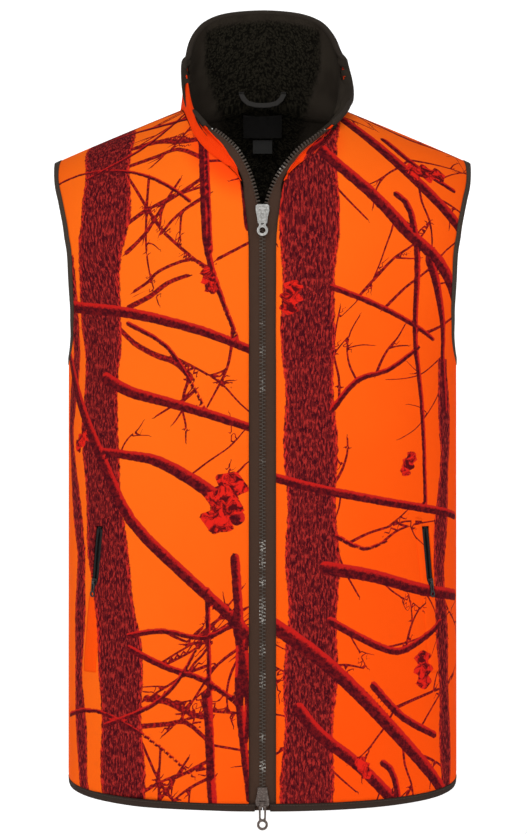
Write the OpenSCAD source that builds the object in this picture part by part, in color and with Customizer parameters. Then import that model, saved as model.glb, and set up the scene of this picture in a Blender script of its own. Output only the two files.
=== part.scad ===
// Sleeveless fleece vest, zipped nearly to the top, in the shape it holds on a body.
// Millimetres. X runs to the wearer's left, Y to the wearer's back, Z up.
// The origin is at the middle of the shoulders, at the height where neck and shoulder meet.

/* [Body] */
// Half the width of the vest at the waist
side_half_w = 193; // [185:1:200]
// How much wider each side gets at the chest
chest_flare = 22; // [16:1:26]
// Depth of the front half at centre front
front_depth = 122; // [112:1:130]
// Depth of the back half at centre back
back_depth = 120; // [110:1:130]
// Height of the hem below the shoulders at centre front
hem_drop = 680; // [640:1:720]

/* [Layers] */
// Thickness of the printed outer fabric
shell_t = 1.6; // [1:0.1:1.8]
// Depth at which the lining starts
lining_in = 3.9; // [3.9:0.1:4.2]
// Thickness of the lining
lining_t = 1.3; // [0.8:0.1:2]
// Width of the binding round armholes and hem
binding_w = 7.5; // [6:0.1:9]

/* [Front zip] */
// Distance between teeth on one side
tooth_pitch = 3.4; // [3.2:0.1:4]
// Distance from centre front to the edge of each tape
tape_edge = 3; // [3:0.1:3.2]
// Width of tape from the teeth to its hidden edge
tape_w = 17; // [14:1:20]

/* [Pockets] */
// Length of each pocket zip
pocket_len = 134; // [120:1:140]
// Size of the pocket sliders against the front ones
pocket_scale = 0.6; // [0.55:0.01:0.62]

/* [Hidden] */
$fn = 32;
eps = 0.01;
corner = 2.4;        // how square the body's outline is, seen from above
crown = 2.3;         // how square the shoulders are, seen from the side
dome_z = -130;       // the shoulders start to round over here
dome_arc = 190;      // length along the surface from there to the shoulder seam
ridge_top = 31;      // height of the shoulder line, carried on to the centre
ridge_slope = 0.41;  // and its fall per millimetre sideways
flare_z = -250;
flare_h = 120;
seam_gap = 0.15;     // half of the gap between two panels at a seam
cut_gap = 0.2;       // gap between a panel and its binding
chain_y = -119.2;    // middle of the zip's teeth
shell_orange = "orangered";
binding_brown = [0.2, 0.16, 0.14];
lining_grey = [0.13, 0.12, 0.11];
tape_brown = [0.25, 0.2, 0.16];

// Curves and vectors
function mix(a, b, t) = a + (b - a) * t;
function unit(v) = v / norm(v);
function clamp01(t) = min(max(t, 0), 1);
function ease(t) = let (u = clamp01(t)) u * u * (3 - 2 * u);
function flip(list) = [for (i = [len(list) - 1:-1:0]) list[i]];
function mirror_x(list) = [for (p = list) [-p[0], p[1], p[2]]];
function smooth_step(a, b, c, d, t) =
    0.5 * (2 * b + (c - a) * t + (2 * a - 5 * b + 4 * c - d) * t * t
    + (3 * b - a - 3 * c + d) * t * t * t);
// A point on the smooth curve through the knots k, at t from 0 to 1
function curve(k, t) =
    let (n = len(k) - 1, i = min(floor(t * n), n - 1))
    smooth_step(k[max(i - 1, 0)], k[i], k[i + 1], k[min(i + 2, n)], t * n - i);
function sampled(k, n) = [for (i = [0:n]) curve(k, i / n)];
// Length along a line of points, up to each point
function lengths(p) =
    [for (i = 0, s = 0; i < len(p); i = i + 1, s = i < len(p) ? s + norm(p[i] - p[i - 1]) : s) s];
// The point at distance d along a line of points
function at_length(p, d) =
    let (s = lengths(p))
    [for (axis = [0:2]) lookup(d, [for (i = [0:len(p) - 1]) [s[i], p[i][axis]]])];
// The same line, with points at the fractions f of its length
function spread(p, f) = let (s = lengths(p)) [for (t = f) at_length(p, t * s[len(s) - 1])];
function fractions(p) = let (s = lengths(p)) [for (d = s) d / s[len(s) - 1]];

// The body's surface. A spot is [angle round the body, height along the surface, -1 front or 1 back].
function half_width(z) = side_half_w + chest_flare * ease((z - flare_z) / flare_h);
function ridge_z(x) = ridge_top - ridge_slope * abs(x);
function depth(side) = side < 0 ? front_depth : back_depth;
function skin(s, off = 0) =
    let (half = half_width(dome_z + min(s[1], 0)) - off,
         x = half * sign(s[0]) * pow(sin(abs(s[0])), 2 / corner),
         reach = (depth(s[2]) - off) * pow(max(cos(s[0]), 0), 2 / corner),
         turn = 90 * clamp01(s[1] / dome_arc),
         y = reach * pow(cos(turn), 2 / crown),
         rise = (ridge_z(x) - off - dome_z) * pow(sin(turn), 2 / crown))
    [x, s[2] * (y + seam_gap), s[1] <= 0 ? dome_z + s[1] : dome_z + rise];
function angle_at(x, z) =
    sign(x) * asin(pow(min(abs(x) / half_width(min(z, dome_z)), 1), corner / 2));
// The spot at a given x and z
function spot(x, z, side) =
    let (t = clamp01((z - dome_z) / (ridge_z(x) - dome_z)))
    [angle_at(x, z), z <= dome_z ? z - dome_z : dome_arc / 90 * asin(pow(t, crown / 2)), side];
// The spot at a given x and y on the shoulders
function spot_above(x, y, side) =
    let (angle = angle_at(x, 0), reach = depth(side) * pow(cos(angle), 2 / corner))
    [angle, dome_arc / 90 * acos(pow(min(abs(y) / reach, 1), crown / 2)), side];

// Moves a line of spots sideways over the surface by w, to the side that inward points to
function inset(line, w, first, last) =
    [for (i = [0:len(line) - 1])
        let (s = line[i], step = 0.2,
             t = i == 0 ? first : i == len(line) - 1 ? last : line[i + 1] - line[i - 1],
             by_angle = (skin(s) - skin(s - [step, 0, 0])) / step,
             by_height = (skin(s) - skin(s - [0, step, 0])) / step,
             e = by_angle * by_angle, f = by_angle * by_height, g = by_height * by_height,
             a = f * t[0] + g * t[1], b = -e * t[0] - f * t[1])
        s - [a, b, 0] * w / norm(by_angle * a + by_height * b)];

// A grid of spots or points between four edges, as a woven patch; rise is each row's share of the way up
function woven(left, right, bottom, top, rise) =
    let (rows = len(left) - 1, columns = len(bottom) - 1)
    [for (r = [0:rows]) [for (c = [0:columns]) let (v = rise[r], u = c / columns)
        mix(bottom[c], top[c], v) + mix(left[r], right[r], u)
            - mix(mix(bottom[0], bottom[columns], u), mix(top[0], top[columns], u), v)]];
function lifted(grid, off) = [for (row = grid) [for (s = row) skin(s, off)]];
// A grid of points moved d along its own normals, away from the outside
function sunk(grid, d) =
    let (rows = len(grid) - 1, columns = len(grid[0]) - 1)
    [for (r = [0:rows]) [for (c = [0:columns])
        let (along = grid[r][min(c + 1, columns)] - grid[r][max(c - 1, 0)],
             up = grid[min(r + 1, rows)][c] - grid[max(r - 1, 0)][c])
        grid[r][c] - d * unit(cross(along, up))]];

// A sheet between two grids of points, outer and inner, less any cells in the hole.
// hole is [first row, last row, column]; the cells of that column between the rows are left open.
module sheet(outer, inner, hole = [0, 0, -1]) {
    rows = len(outer) - 1;
    columns = len(outer[0]) - 1;
    size = (rows + 1) * (columns + 1);
    function id(r, c) = r * (columns + 1) + c;
    function open(r, c) =
        r < 0 || c < 0 || r >= rows || c >= columns
        || (c == hole[2] && r >= hole[0] && r < hole[1]);
    points = concat([for (row = outer) each row], [for (row = inner) each row]);
    faces = [for (r = [0:rows - 1]) for (c = [0:columns - 1]) if (!open(r, c)) each concat(
        [[id(r, c), id(r, c + 1), id(r + 1, c + 1)], [id(r, c), id(r + 1, c + 1), id(r + 1, c)]],
        [[id(r, c) + size, id(r + 1, c + 1) + size, id(r, c + 1) + size],
         [id(r, c) + size, id(r + 1, c) + size, id(r + 1, c + 1) + size]],
        open(r - 1, c) ? wall(id(r, c), id(r, c + 1), size) : [],
        open(r + 1, c) ? wall(id(r + 1, c + 1), id(r + 1, c), size) : [],
        open(r, c - 1) ? wall(id(r + 1, c), id(r, c), size) : [],
        open(r, c + 1) ? wall(id(r, c + 1), id(r + 1, c + 1), size) : [])];
    polyhedron(points, [for (f = faces) flip(f)], convexity = 6);
}
function wall(a, b, size) = [[a, a + size, b + size], [a, b + size, b]];

// A bar that follows a ring of cross-sections, closed into a loop or capped at both ends
module bar(sections, closed = false) {
    n = len(sections);
    k = len(sections[0]);
    faces = concat(
        [for (i = [0:closed ? n - 1 : n - 2]) for (j = [0:k - 1])
            let (a = i * k, b = ((i + 1) % n) * k, j1 = (j + 1) % k)
            each [[a + j, a + j1, b + j1], [a + j, b + j1, b + j]]],
        closed ? [] : [[for (j = [k - 1:-1:0]) j], [for (j = [0:k - 1]) (n - 1) * k + j]]);
    polyhedron([for (s = sections) each s], [for (f = faces) flip(f)], convexity = 6);
}
module both_sides() { children(); mirror([1, 0, 0]) children(); }

// Edges of the panels
hem_side_z = -hem_drop + 11;
function hem_height(side, a) =
    mix(side < 0 ? -hem_drop : -hem_drop - 4, hem_side_z, pow(abs(a) / 90, 2)) - dome_z;
// Armhole edge from the side seam to the shoulder: [inset from the body's half width, height]
armhole_front = [[0, -248], [0.6, -247], [2.6, -241], [6, -229], [9.5, -214], [14.6, -195],
                 [23, -155], [22, -130], [16, -100], [10, -75]];
armhole_back = [[0, -248], [0.6, -247], [2.6, -241], [6, -227], [9, -210], [12, -188],
                [18.4, -150], [16, -125], [12, -100], [8, -75]];
shoulder_inset = 7;
arm_steps = 18;
function armhole(side) =
    let (knots = side < 0 ? armhole_front : armhole_back)
    sampled(concat([for (k = knots) spot(half_width(min(k[1], dome_z)) - k[0], k[1], side)],
                   [[angle_at(half_width(0) - shoulder_inset, 0), dome_arc, side]]), arm_steps);
function armhole_seam(side, w) = inset(armhole(side), w, [-1, 0, 0], [0, 1, 0]);
// Heights of the rows below the armhole; the pocket slot and the bag end at some of them
side_rows = [-612, -545, -480, -412, -385, -330];
pocket_rows = [2, 4];
bag_rows = [1, 5];
side_line = concat([hem_side_z + binding_w + cut_gap], side_rows);
// Front edge beside the zip, then the neck seam up to the shoulder: [x, z]
front_line = [[13, -256], [13, -190], [13.3, -140], [16, -112], [21, -84], [31, -71], [52, -54],
              [65, -37], [74, -17]];
neck_x = 83;
neck_y = 56;
neck_start = 8;      // the sample of front_edge where the neck seam begins
function front_edge() =
    sampled(concat([for (k = front_line) spot(k[0], k[1], -1)],
                   [[angle_at(neck_x, 0), dome_arc, -1]]), arm_steps);
neck_steps = 10;
function back_neck(n) =
    [for (i = [0:n]) let (a = 90 - 180 * i / n)
        i == 0 || i == n ? [sign(a) * angle_at(neck_x, 0), dome_arc, 1]
        : spot_above(neck_x * sign(a) * pow(sin(abs(a)), 0.9), neck_y * pow(cos(a), 0.9), 1)];
// Each front column's place between the zip and the side, with the pocket slot between two columns
pocket_top = [157, -412];
pocket_end = [169, -545];
slot_half = 2.15;         // half the slot, in degrees round the body
pocket_column = 4;
function slot_angle(z) =
    let (t = clamp01((pocket_top[1] - z) / (pocket_top[1] - pocket_end[1])))
    angle_at(mix(pocket_top[0], pocket_end[0], t), z);
function column_places(z) =
    let (edge = angle_at(13, z), slot = slot_angle(z), wide = 90 - edge,
         near = (slot - slot_half - edge) / wide, far = (slot + slot_half - edge) / wide)
    [0, near * 0.25, near * 0.5, near * 0.75, near, far, mix(far, 1, 0.35), mix(far, 1, 0.7), 1];
function front_grid() =
    let (upper = armhole_seam(-1, binding_w + cut_gap), edge = front_edge(),
         left = concat([for (z = concat([-hem_drop], side_rows)) spot(13, z, -1)], edge),
         right = concat([for (z = side_line) [90, z - dome_z, -1]], upper),
         heights = concat(side_line, [for (i = upper) side_rows[5]]))
    [for (r = [0:len(left) - 1]) [for (u = column_places(heights[r])) let (s = mix(left[r], right[r], u))
        r > 0 ? s : [s[0], hem_height(-1, s[0]) + binding_w + cut_gap, -1]]];
function block(grid, rows, columns) =
    [for (r = [rows[0]:rows[1]]) [for (c = [columns[0]:columns[1]]) grid[r][c]]];
shoulder_columns = 5;
function back_grid() =
    let (upper = armhole_seam(1, binding_w + cut_gap),
         side = concat([for (z = side_line) [90, z - dome_z, 1]], upper),
         other = [for (s = side) [-s[0], s[1], s[2]]],
         tip = upper[arm_steps], neck = back_neck(neck_steps),
         seam = [for (i = [0:shoulder_columns - 1]) mix(tip, neck[0], i / shoulder_columns)],
         top = concat(seam, neck, mirror_x(flip(seam))),
         bottom = [for (i = [0:len(top) - 1]) let (a = 90 * (1 - 2 * i / (len(top) - 1)))
             [a, hem_height(1, a) + binding_w + cut_gap, 1]])
    woven(side, other, bottom, top, [for (s = side) (s[1] - side[0][1]) / (tip[1] - side[0][1])]);

module front_shell() {
    grid = front_grid();
    sheet(lifted(grid, 0), lifted(grid, shell_t), [pocket_rows[0], pocket_rows[1], pocket_column]);
}
module front_lining() {
    grid = front_grid();
    sheet(lifted(grid, lining_in), lifted(grid, lining_in + lining_t));
}
module left_front_shell() { color(shell_orange) front_shell(); }
module right_front_shell() { color(shell_orange) mirror([1, 0, 0]) front_shell(); }
module back_shell() { color(shell_orange) sheet(lifted(back_grid(), 0), lifted(back_grid(), shell_t)); }
module left_front_lining() { color(lining_grey) front_lining(); }
module right_front_lining() { color(lining_grey) mirror([1, 0, 0]) front_lining(); }
module back_lining() {
    color(lining_grey)
    sheet(lifted(back_grid(), lining_in), lifted(back_grid(), lining_in + lining_t));
}

// Bindings fold over the raw edges of shell and lining
binding_out = -0.6;
binding_in = lining_in + lining_t + 0.6;
function bound(edge, seam) =
    [for (i = [0:len(edge) - 1]) [skin(edge[i], binding_out), skin(seam[i], binding_out),
                                  skin(seam[i], binding_in), skin(edge[i], binding_in)]];
module armhole_binding() {
    front = bound(armhole(-1), armhole_seam(-1, binding_w));
    back = bound(armhole(1), armhole_seam(1, binding_w));
    bar([for (s = concat(front, flip(back))) flip(s)], closed = true);
}
module left_armhole_binding() { color(binding_brown) armhole_binding(); }
module right_armhole_binding() { color(binding_brown) mirror([1, 0, 0]) armhole_binding(); }
hem_end = 6.8;       // the hem binding stops this far from centre front
hem_steps = 14;
function hem_line(side, last, n, lift) =
    [for (i = [0:n]) let (a = mix(last, 90, i / n)) [a, hem_height(side, a) + lift, side]];
module hem_binding() {
    start = angle_at(hem_end, -hem_drop);
    front = bound(hem_line(-1, start, hem_steps, 0), hem_line(-1, start, hem_steps, binding_w));
    back = bound(hem_line(1, 0, hem_steps, 0), hem_line(1, 0, hem_steps, binding_w));
    half = concat(front, flip(back));
    other = [for (i = [len(half) - 2:-1:0]) mirror_x(half[i])];
    color(binding_brown) bar([for (s = concat(half, other)) flip(s)]);
}

// Collar: a ring from the neck seam up to its top edge, open at the front
left_collar_edge = [[21, -118.8, -84], [27, -115.5, -71.5], [36.5, -112, -58.5], [47, -107.5, -48],
                    [57, -101, -38.5], [65, -95, -31]];
right_collar_edge = [[21, -118.8, -84], [24.5, -115.8, -72], [31.5, -112.5, -60.5], [37.2, -108, -51],
                     [46, -101, -40.5], [54, -94, -31]];
collar_top = [[65, -95, -31], [73, -83, -22], [81, -63, -8], [85, -38, 6], [85, -14, 24],
              [81.5, 0, 42], [77, 15, 64], [71, 31, 81.5], [59, 48, 97], [36, 60, 107],
              [0, 66, 110.5], [-36, 60, 107], [-58, 48, 97], [-69.5, 33, 82.5], [-75, 17, 66],
              [-76.5, 0, 48], [-75, -24, 20], [-70.5, -50, -3], [-62.5, -76, -20], [-54, -94, -31]];
collar_lift = 0.7;   // gap between the collar and the panels' neck edge
collar_rows = 6;
collar_bulge = 1.5;
collar_lining_in = 2;
collar_lining_t = 2.6;
function neck_seam() =
    let (edge = front_edge(), line = [for (i = [neck_start:arm_steps]) edge[i]],
         front = [for (s = inset(line, collar_lift, line[1] - line[0], [0, 1, 0])) skin(s)],
         back = [for (s = inset(back_neck(neck_steps), -collar_lift, [0, -1, 0], [0, 1, 0])) skin(s)],
         middle = [for (i = [1:neck_steps - 1]) back[i]])
    concat(front, middle, mirror_x(flip(front)));
function collar_grid() =
    let (seam = neck_seam(), n = len(seam) - 1,
         top = spread(sampled(collar_top, 54), fractions(seam)),
         flat = woven(concat([seam[0]], collar_side(left_collar_edge)),
                      concat([seam[n]], mirror_x(collar_side(right_collar_edge))), seam, top,
                      [for (r = [0:collar_rows]) r / collar_rows]),
         out = sunk(flat, -collar_bulge))
    [for (r = [0:collar_rows]) [for (c = [0:n])
        mix(flat[r][c], out[r][c], sin(180 * r / collar_rows) * sin(180 * c / n))]];
collar_clear = 1;    // grid columns left off at each front edge, where the zip is sewn in
function collar_layer(depth) =
    let (grid = sunk(collar_grid(), depth))
    block(grid, [0, collar_rows], [collar_clear, len(grid[0]) - 1 - collar_clear]);
function collar_side(edge) =
    let (points = sampled(edge, collar_rows)) [for (i = [1:collar_rows]) points[i]];
module collar_shell() { color("orangered") sheet(collar_layer(0), collar_layer(shell_t)); }
module collar_lining() {
    color(lining_grey) sheet(collar_layer(collar_lining_in),
                             collar_layer(collar_lining_in + collar_lining_t));
}

// Front zip: tapes, teeth and stops, given for the wearer's left and mirrored for the right
chain_bottom = -669;
chain_top = -124;    // the teeth begin to part here, inside the top slider
left_teeth_line = [[3, chain_y, chain_top], [5.4, chain_y, -106], [10.2, chain_y, -91],
                   [17, -117.9, -77], [32.4, -114.4, -57], [46.8, -108.5, -44.6], [61.5, -100, -32.8]];
right_teeth_line = [[3, chain_y, chain_top], [5.4, chain_y, -106], [11.8, -118, -81],
                    [22.5, -114, -58], [35, -106.5, -43.5], [50.2, -96, -31.5]];
tape_t = 0.8;
tape_short = 0.3;    // share of the way from the collar's front edge to the teeth left bare of tape
tape_end = -hem_drop + binding_w + 1;
function hidden_edge(collar_edge) =
    concat([[tape_edge + tape_w, chain_y, chain_top], [20, chain_y + 0.6, -100], [19.6, -116.2, -86]],
           [for (i = [1:5]) collar_edge[i]]);
tape_seat = 0.15;    // gap between the tape's edge and the teeth's roots
module zip_tape(teeth_line, collar_edge) {
    n = 24;
    root = sampled(teeth_line, n);
    outer = spread(sampled(hidden_edge(collar_edge), 48), fractions(root));
    upper = [for (i = [0:n])
        let (across = unit(root[i] - outer[i]),
             up = root[min(i + 1, n)] - root[max(i - 1, 0)],
             through = unit(cross(across, up)) * tape_t / 2,
             near = root[i] - across * tape_seat,
             far = mix(outer[i], root[i], tape_short * clamp01((i - 4) / 6)))
        [near - through, far - through, far + through, near + through]];
    foot = [for (p = upper[0]) [p[0], p[1], tape_end]];
    bar(concat([foot], upper));
}
tooth = [3.8, 2.5, 1.5];
tooth_reach = 0.8;   // how far a tooth crosses centre front when closed
module zip_teeth(teeth_line, collar_edge, phase) {
    straight = chain_top - chain_bottom;
    outer = sampled(hidden_edge(collar_edge), 48);
    root = concat([[tape_edge, chain_y, chain_bottom]], sampled(teeth_line, 48));
    lengths_of_root = lengths(root);
    count = floor((lengths_of_root[len(root) - 1] - phase - 3) / tooth_pitch);
    for (i = [0:count]) {
        d = phase + i * tooth_pitch;
        p = at_length(root, d);
        up = unit(at_length(root, d + 0.5) - at_length(root, d - 0.5));
        share = clamp01((d - straight) / (lengths_of_root[len(root) - 1] - straight));
        side = d < straight ? [1, 0, 0] : at_length(outer, share * lengths(outer)[48]) - p;
        through = unit(cross(side, up));
        across = cross(up, through);
        multmatrix([[across[0], through[0], up[0], p[0]], [across[1], through[1], up[1], p[1]],
                    [across[2], through[2], up[2], p[2]], [0, 0, 0, 1]])
        translate([-tooth[0] / 2, 0, 0]) cube(tooth, center = true);
    }
}
module left_zip_tape() { color(tape_brown) zip_tape(left_teeth_line, left_collar_edge); }
module right_zip_tape() {
    color(tape_brown) mirror([1, 0, 0]) zip_tape(right_teeth_line, right_collar_edge);
}
module left_zip_teeth() { color("dimgray") zip_teeth(left_teeth_line, left_collar_edge, 0); }
module right_zip_teeth() {
    color("dimgray") mirror([1, 0, 0]) zip_teeth(right_teeth_line, right_collar_edge, tooth_pitch / 2);
}

// A zip slider seen from the front, closed end down at z = 0, with the chain's middle at y = 0
slider_len = 18;
slider_pin_z = 14;
slider_pin_y = -4.6;
pin_r = 0.7;
plate_in = 1.7;
plate_t = 1.2;
slider_outline = [[-4.3, 0], [4.3, 0], [5, 6], [6.4, 12], [6.4, slider_len - 1.5], [4.6, slider_len],
                  [-4.6, slider_len], [-6.4, slider_len - 1.5], [-6.4, 12], [-5, 6]];
module slider_plate(y) {
    translate([0, y + plate_t, 0]) rotate([90, 0, 0]) linear_extrude(plate_t) polygon(slider_outline);
}
module slider_flange(y, t) {
    // the rims that guide the tape, with the slot for the tape left between front and back
    both_sides() translate([0, y + t, 0]) rotate([90, 0, 0]) linear_extrude(t)
        polygon([[3.5, 0], [4.3, 0], [5, 6], [6.4, 12], [6.4, 16], [5.7, 16], [5.7, 12.2], [4.2, 6]]);
}
module slider() {
    slider_plate(-plate_in - plate_t);
    slider_plate(plate_in);
    slider_flange(-plate_in - eps, plate_in - 0.65);
    slider_flange(0.65, plate_in - 0.65 + eps);
    // the post that parts the teeth
    translate([0, plate_in + eps, slider_len - 1.6]) rotate([90, 0, 0])
        cylinder(h = 2 * plate_in + 2 * eps, r = 1);
    // the bail that holds the pull
    for (x = [-1, 1]) translate([x * 2.9, 0, slider_pin_z]) {
        translate([-0.5, slider_pin_y, -1.3]) cube([1, -slider_pin_y - plate_in - plate_t / 2, 2.6]);
        translate([-0.5, slider_pin_y, 0]) rotate([0, 90, 0]) cylinder(h = 1, r = 1.3);
    }
    translate([-2.9, slider_pin_y, slider_pin_z]) rotate([0, 90, 0]) cylinder(h = 5.8, r = pin_r);
}
// The pull that hangs on it, from the pin at the origin down
pull_len = 26;
pull_t = 1.4;
ring_r = 5.2;
module pull() {
    difference() {
        union() {
            rotate([0, 90, 0]) cylinder(h = 4, r = 1.45, center = true);
            translate([0, pull_t / 2, 0]) rotate([90, 0, 0]) linear_extrude(pull_t) union() {
                translate([-2, -3.4]) square([4, 3.4]);
                polygon([[-2, -2.6], [2, -2.6], [3.6, -4], [3.2, -18], [-3.2, -18], [-3.6, -4]]);
                translate([0, ring_r - pull_len]) circle(ring_r);
            }
        }
        rotate([0, 90, 0]) cylinder(h = 5, r = pin_r + 0.06, center = true);
        translate([0, pull_t, 0]) rotate([90, 0, 0]) linear_extrude(2 * pull_t) {
            translate([0, ring_r - pull_len]) circle(2.9);
            translate([-1.6, -14]) square([3.2, 8]);
            translate([0, -14]) circle(1.6);
            translate([0, -6]) circle(1.6);
        }
    }
}
module place_top_slider() { translate([0, chain_y, chain_top]) children(); }
bottom_slider_z = -657;
// the lower slider is the same part turned over, with its wide end down
module place_bottom_slider() { translate([0, chain_y, bottom_slider_z]) children(); }
module top_slider() { color("silver") place_top_slider() slider(); }
module top_slider_pull() {
    color("silver") place_top_slider() translate([0, slider_pin_y, slider_pin_z]) pull();
}
module bottom_slider() { color([0.3, 0.25, 0.22]) place_bottom_slider() mirror([0, 0, 1]) slider(); }
module bottom_slider_pull() {
    color([0.3, 0.25, 0.22])
    place_bottom_slider() translate([0, slider_pin_y, -slider_pin_z]) pull();
}
// Ends of the chain
module top_stop(teeth_line) {
    translate(teeth_line[len(teeth_line) - 1]) translate([-2.2, -0.4, 0]) sphere(r = 0.9);
}
module left_top_stop() { color("silver") top_stop(left_teeth_line); }
module right_top_stop() { color("silver") mirror([1, 0, 0]) top_stop(right_teeth_line); }
module bottom_pin(r) { translate([1.9, chain_y, chain_bottom - 5.5]) cylinder(h = 4, r = r); }
module left_bottom_pin() { color("dimgray") bottom_pin(0.9); }
module right_bottom_pin() { color("dimgray") mirror([1, 0, 0]) bottom_pin(0.9); }

// Pockets: everything hangs in a frame at the zip's top end, with Z along the zip,
// -Y straight out of the vest and Y = 0 in the middle of the tape
pocket_tape_in = 1;  // depth of the zip tape below the outer surface
pocket_tape_t = 0.6;
pocket_turn = 43.5;
pocket_tilt = -7.1;
pocket_open = 62;    // from the zip's top end down to the slider's closed end
coil_r = 0.32;
module place_pocket() {
    top = skin(spot(pocket_top[0], pocket_top[1], -1), pocket_tape_in);
    translate(top) rotate([0, 0, pocket_turn]) rotate([0, pocket_tilt, 0]) children();
}
stop_room = 2.8;     // from each end of the slot to the tape, for the stop between them
// Half the gap between the two tapes: [height, half gap], open above the slider
gap_line = [[-stop_room, 0.5], [-12, 1.6], [-30, 1.95], [-46, 1.4], [-pocket_open + 9, 1],
            [-pocket_open, 0.3], [-pocket_len + stop_room, 0.3]];
tape_outer = 4.05;
function strip(from, to) = concat(from, flip(to));
module pocket_zip_tape() {
    outline = strip([for (p = gap_line) [p[1], p[0]]], [for (p = gap_line) [tape_outer, p[0]]]);
    place_pocket() both_sides() translate([0, pocket_tape_t / 2, 0]) rotate([90, 0, 0])
        linear_extrude(pocket_tape_t) polygon(outline);
}
module pocket_coil() {
    back = pocket_tape_t / 2 + coil_r + 0.05;
    place_pocket() for (side = [-1, 1])
        bar([for (p = gap_line) [for (a = [0:45:315])
            [side * (p[1] + coil_r * (1.05 + cos(a))), back - side * coil_r * sin(a), p[0]]]]);
}
module place_pocket_slider() { place_pocket() translate([0, 0, -pocket_open]) children(); }
module pocket_slider() { place_pocket_slider() scale(pocket_scale) slider(); }
module pocket_pull() {
    place_pocket_slider()
        translate([0, slider_pin_y, slider_pin_z] * pocket_scale) scale(pocket_scale) pull();
}
module pocket_stops() {
    place_pocket() for (z = [-2.2, -pocket_len + 1])
        translate([-2.2, -0.8, z]) cube([4.4, 1.6, 1.2]);
}
// The bag behind the slot: a front ply that ends at the slot, and a back ply that runs past it
ply_t = 0.6;
front_ply_in = 2.1;
back_ply_in = 3.05;
module pocket_bag() {
    front = block(front_grid(), bag_rows, [1, pocket_column]);
    back = block(front_grid(), bag_rows, [1, pocket_column + 2]);
    sheet(lifted(front, front_ply_in), lifted(front, front_ply_in + ply_t));
    sheet(lifted(back, back_ply_in), lifted(back, back_ply_in + ply_t));
}
// A strip of the outer fabric, topstitched along the front edge of the slot
welt_w = 3.2;        // in degrees round the body
welt_out = -1.1;
welt_z = [-404, -440, -480, -520, -553];
module pocket_welt() {
    grid = [for (z = flip(welt_z)) let (edge = slot_angle(z) - slot_half)
        [for (c = [0:3]) [edge - welt_w * (1 - c / 3), z - dome_z, -1]]];
    sheet(lifted(grid, welt_out), lifted(grid, welt_out + 0.8));
}
module left_pocket_zip_tape() { color("black") pocket_zip_tape(); }
module right_pocket_zip_tape() { color("black") mirror([1, 0, 0]) pocket_zip_tape(); }
module left_pocket_coil() { color("black") pocket_coil(); }
module right_pocket_coil() { color("black") mirror([1, 0, 0]) pocket_coil(); }
module left_pocket_slider() { color("dimgray") pocket_slider(); }
module right_pocket_slider() { color("dimgray") mirror([1, 0, 0]) pocket_slider(); }
module left_pocket_pull() { color("dimgray") pocket_pull(); }
module right_pocket_pull() { color("dimgray") mirror([1, 0, 0]) pocket_pull(); }
module left_pocket_stops() { color("black") pocket_stops(); }
module right_pocket_stops() { color("black") mirror([1, 0, 0]) pocket_stops(); }
module left_pocket_bag() { color([0.1, 0.1, 0.1]) pocket_bag(); }
module right_pocket_bag() { color([0.1, 0.1, 0.1]) mirror([1, 0, 0]) pocket_bag(); }
module left_pocket_welt() { color(shell_orange) pocket_welt(); }
module right_pocket_welt() { color(shell_orange) mirror([1, 0, 0]) pocket_welt(); }

// Hang loop inside the back of the neck, hanging from a rolled hem at each end
loop_pivot = [0, 46, 22.5];
loop_half = 21.5;
loop_strap = [1.3, 5];
loop_line = [[-21.5, -0.4], [-19, -6], [-14.5, -10.5], [-7, -12.6], [0, -13], [7, -12.6], [14.5, -10.5],
             [19, -6], [21.5, -0.4]];
loop_lean = -20;
module hang_loop() {
    half = loop_strap[1] / 2;
    color("dimgray") translate(loop_pivot) {
        rotate([loop_lean, 0, 0]) bar([for (i = [0:len(loop_line) - 1])
            let (p = loop_line[i], along = loop_line[min(i + 1, 8)] - loop_line[max(i - 1, 0)],
                 side = unit([-along[1], along[0]]) * half, t = loop_strap[0] / 2)
            [[p[0] - side[0], t, p[1] - side[1]], [p[0] + side[0], t, p[1] + side[1]],
             [p[0] + side[0], -t, p[1] + side[1]], [p[0] - side[0], -t, p[1] - side[1]]]]);
        for (x = [-1, 1])
            translate([x * loop_half - 2.6, 0, 0]) rotate([0, 90, 0]) cylinder(h = 5.2, r = 1);
    }
}
// The short tabs that the loop's ends are sewn to
module loop_anchors() {
    color("dimgray") both_sides() translate(loop_pivot) difference() {
        translate([loop_half - 2.6, -1.9, -1.9]) cube([5.2, 4, 3.8]);
        translate([loop_half - 4, 0, 0]) rotate([0, 90, 0]) cylinder(h = 8, r = 1.06);
        translate([loop_half - 4, -3, -3]) cube([8, 3.5, 4.3]);
    }
}
// Labels on the back lining
label_in = lining_in + lining_t + 2.4;
module main_label() {
    grid = [for (z = [-12, -5, 2, 9]) [for (x = [20.5:-8.2:-20.5]) spot(x, z, 1)]];
    color([0.08, 0.08, 0.08]) sheet(lifted(grid, label_in), lifted(grid, label_in + 0.6));
}
size_tab = [20, 0.6, 13];
function tab_top() = skin(spot(0, -13.5, 1), label_in + 2.4);
module size_label() {
    color([0.18, 0.18, 0.18]) translate(tab_top()) {
        rotate([0, 90, 0]) cylinder(h = size_tab[0], r = 0.8, center = true);
        translate([-size_tab[0] / 2, -size_tab[1] / 2, -size_tab[2]]) cube(size_tab);
    }
}

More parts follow.
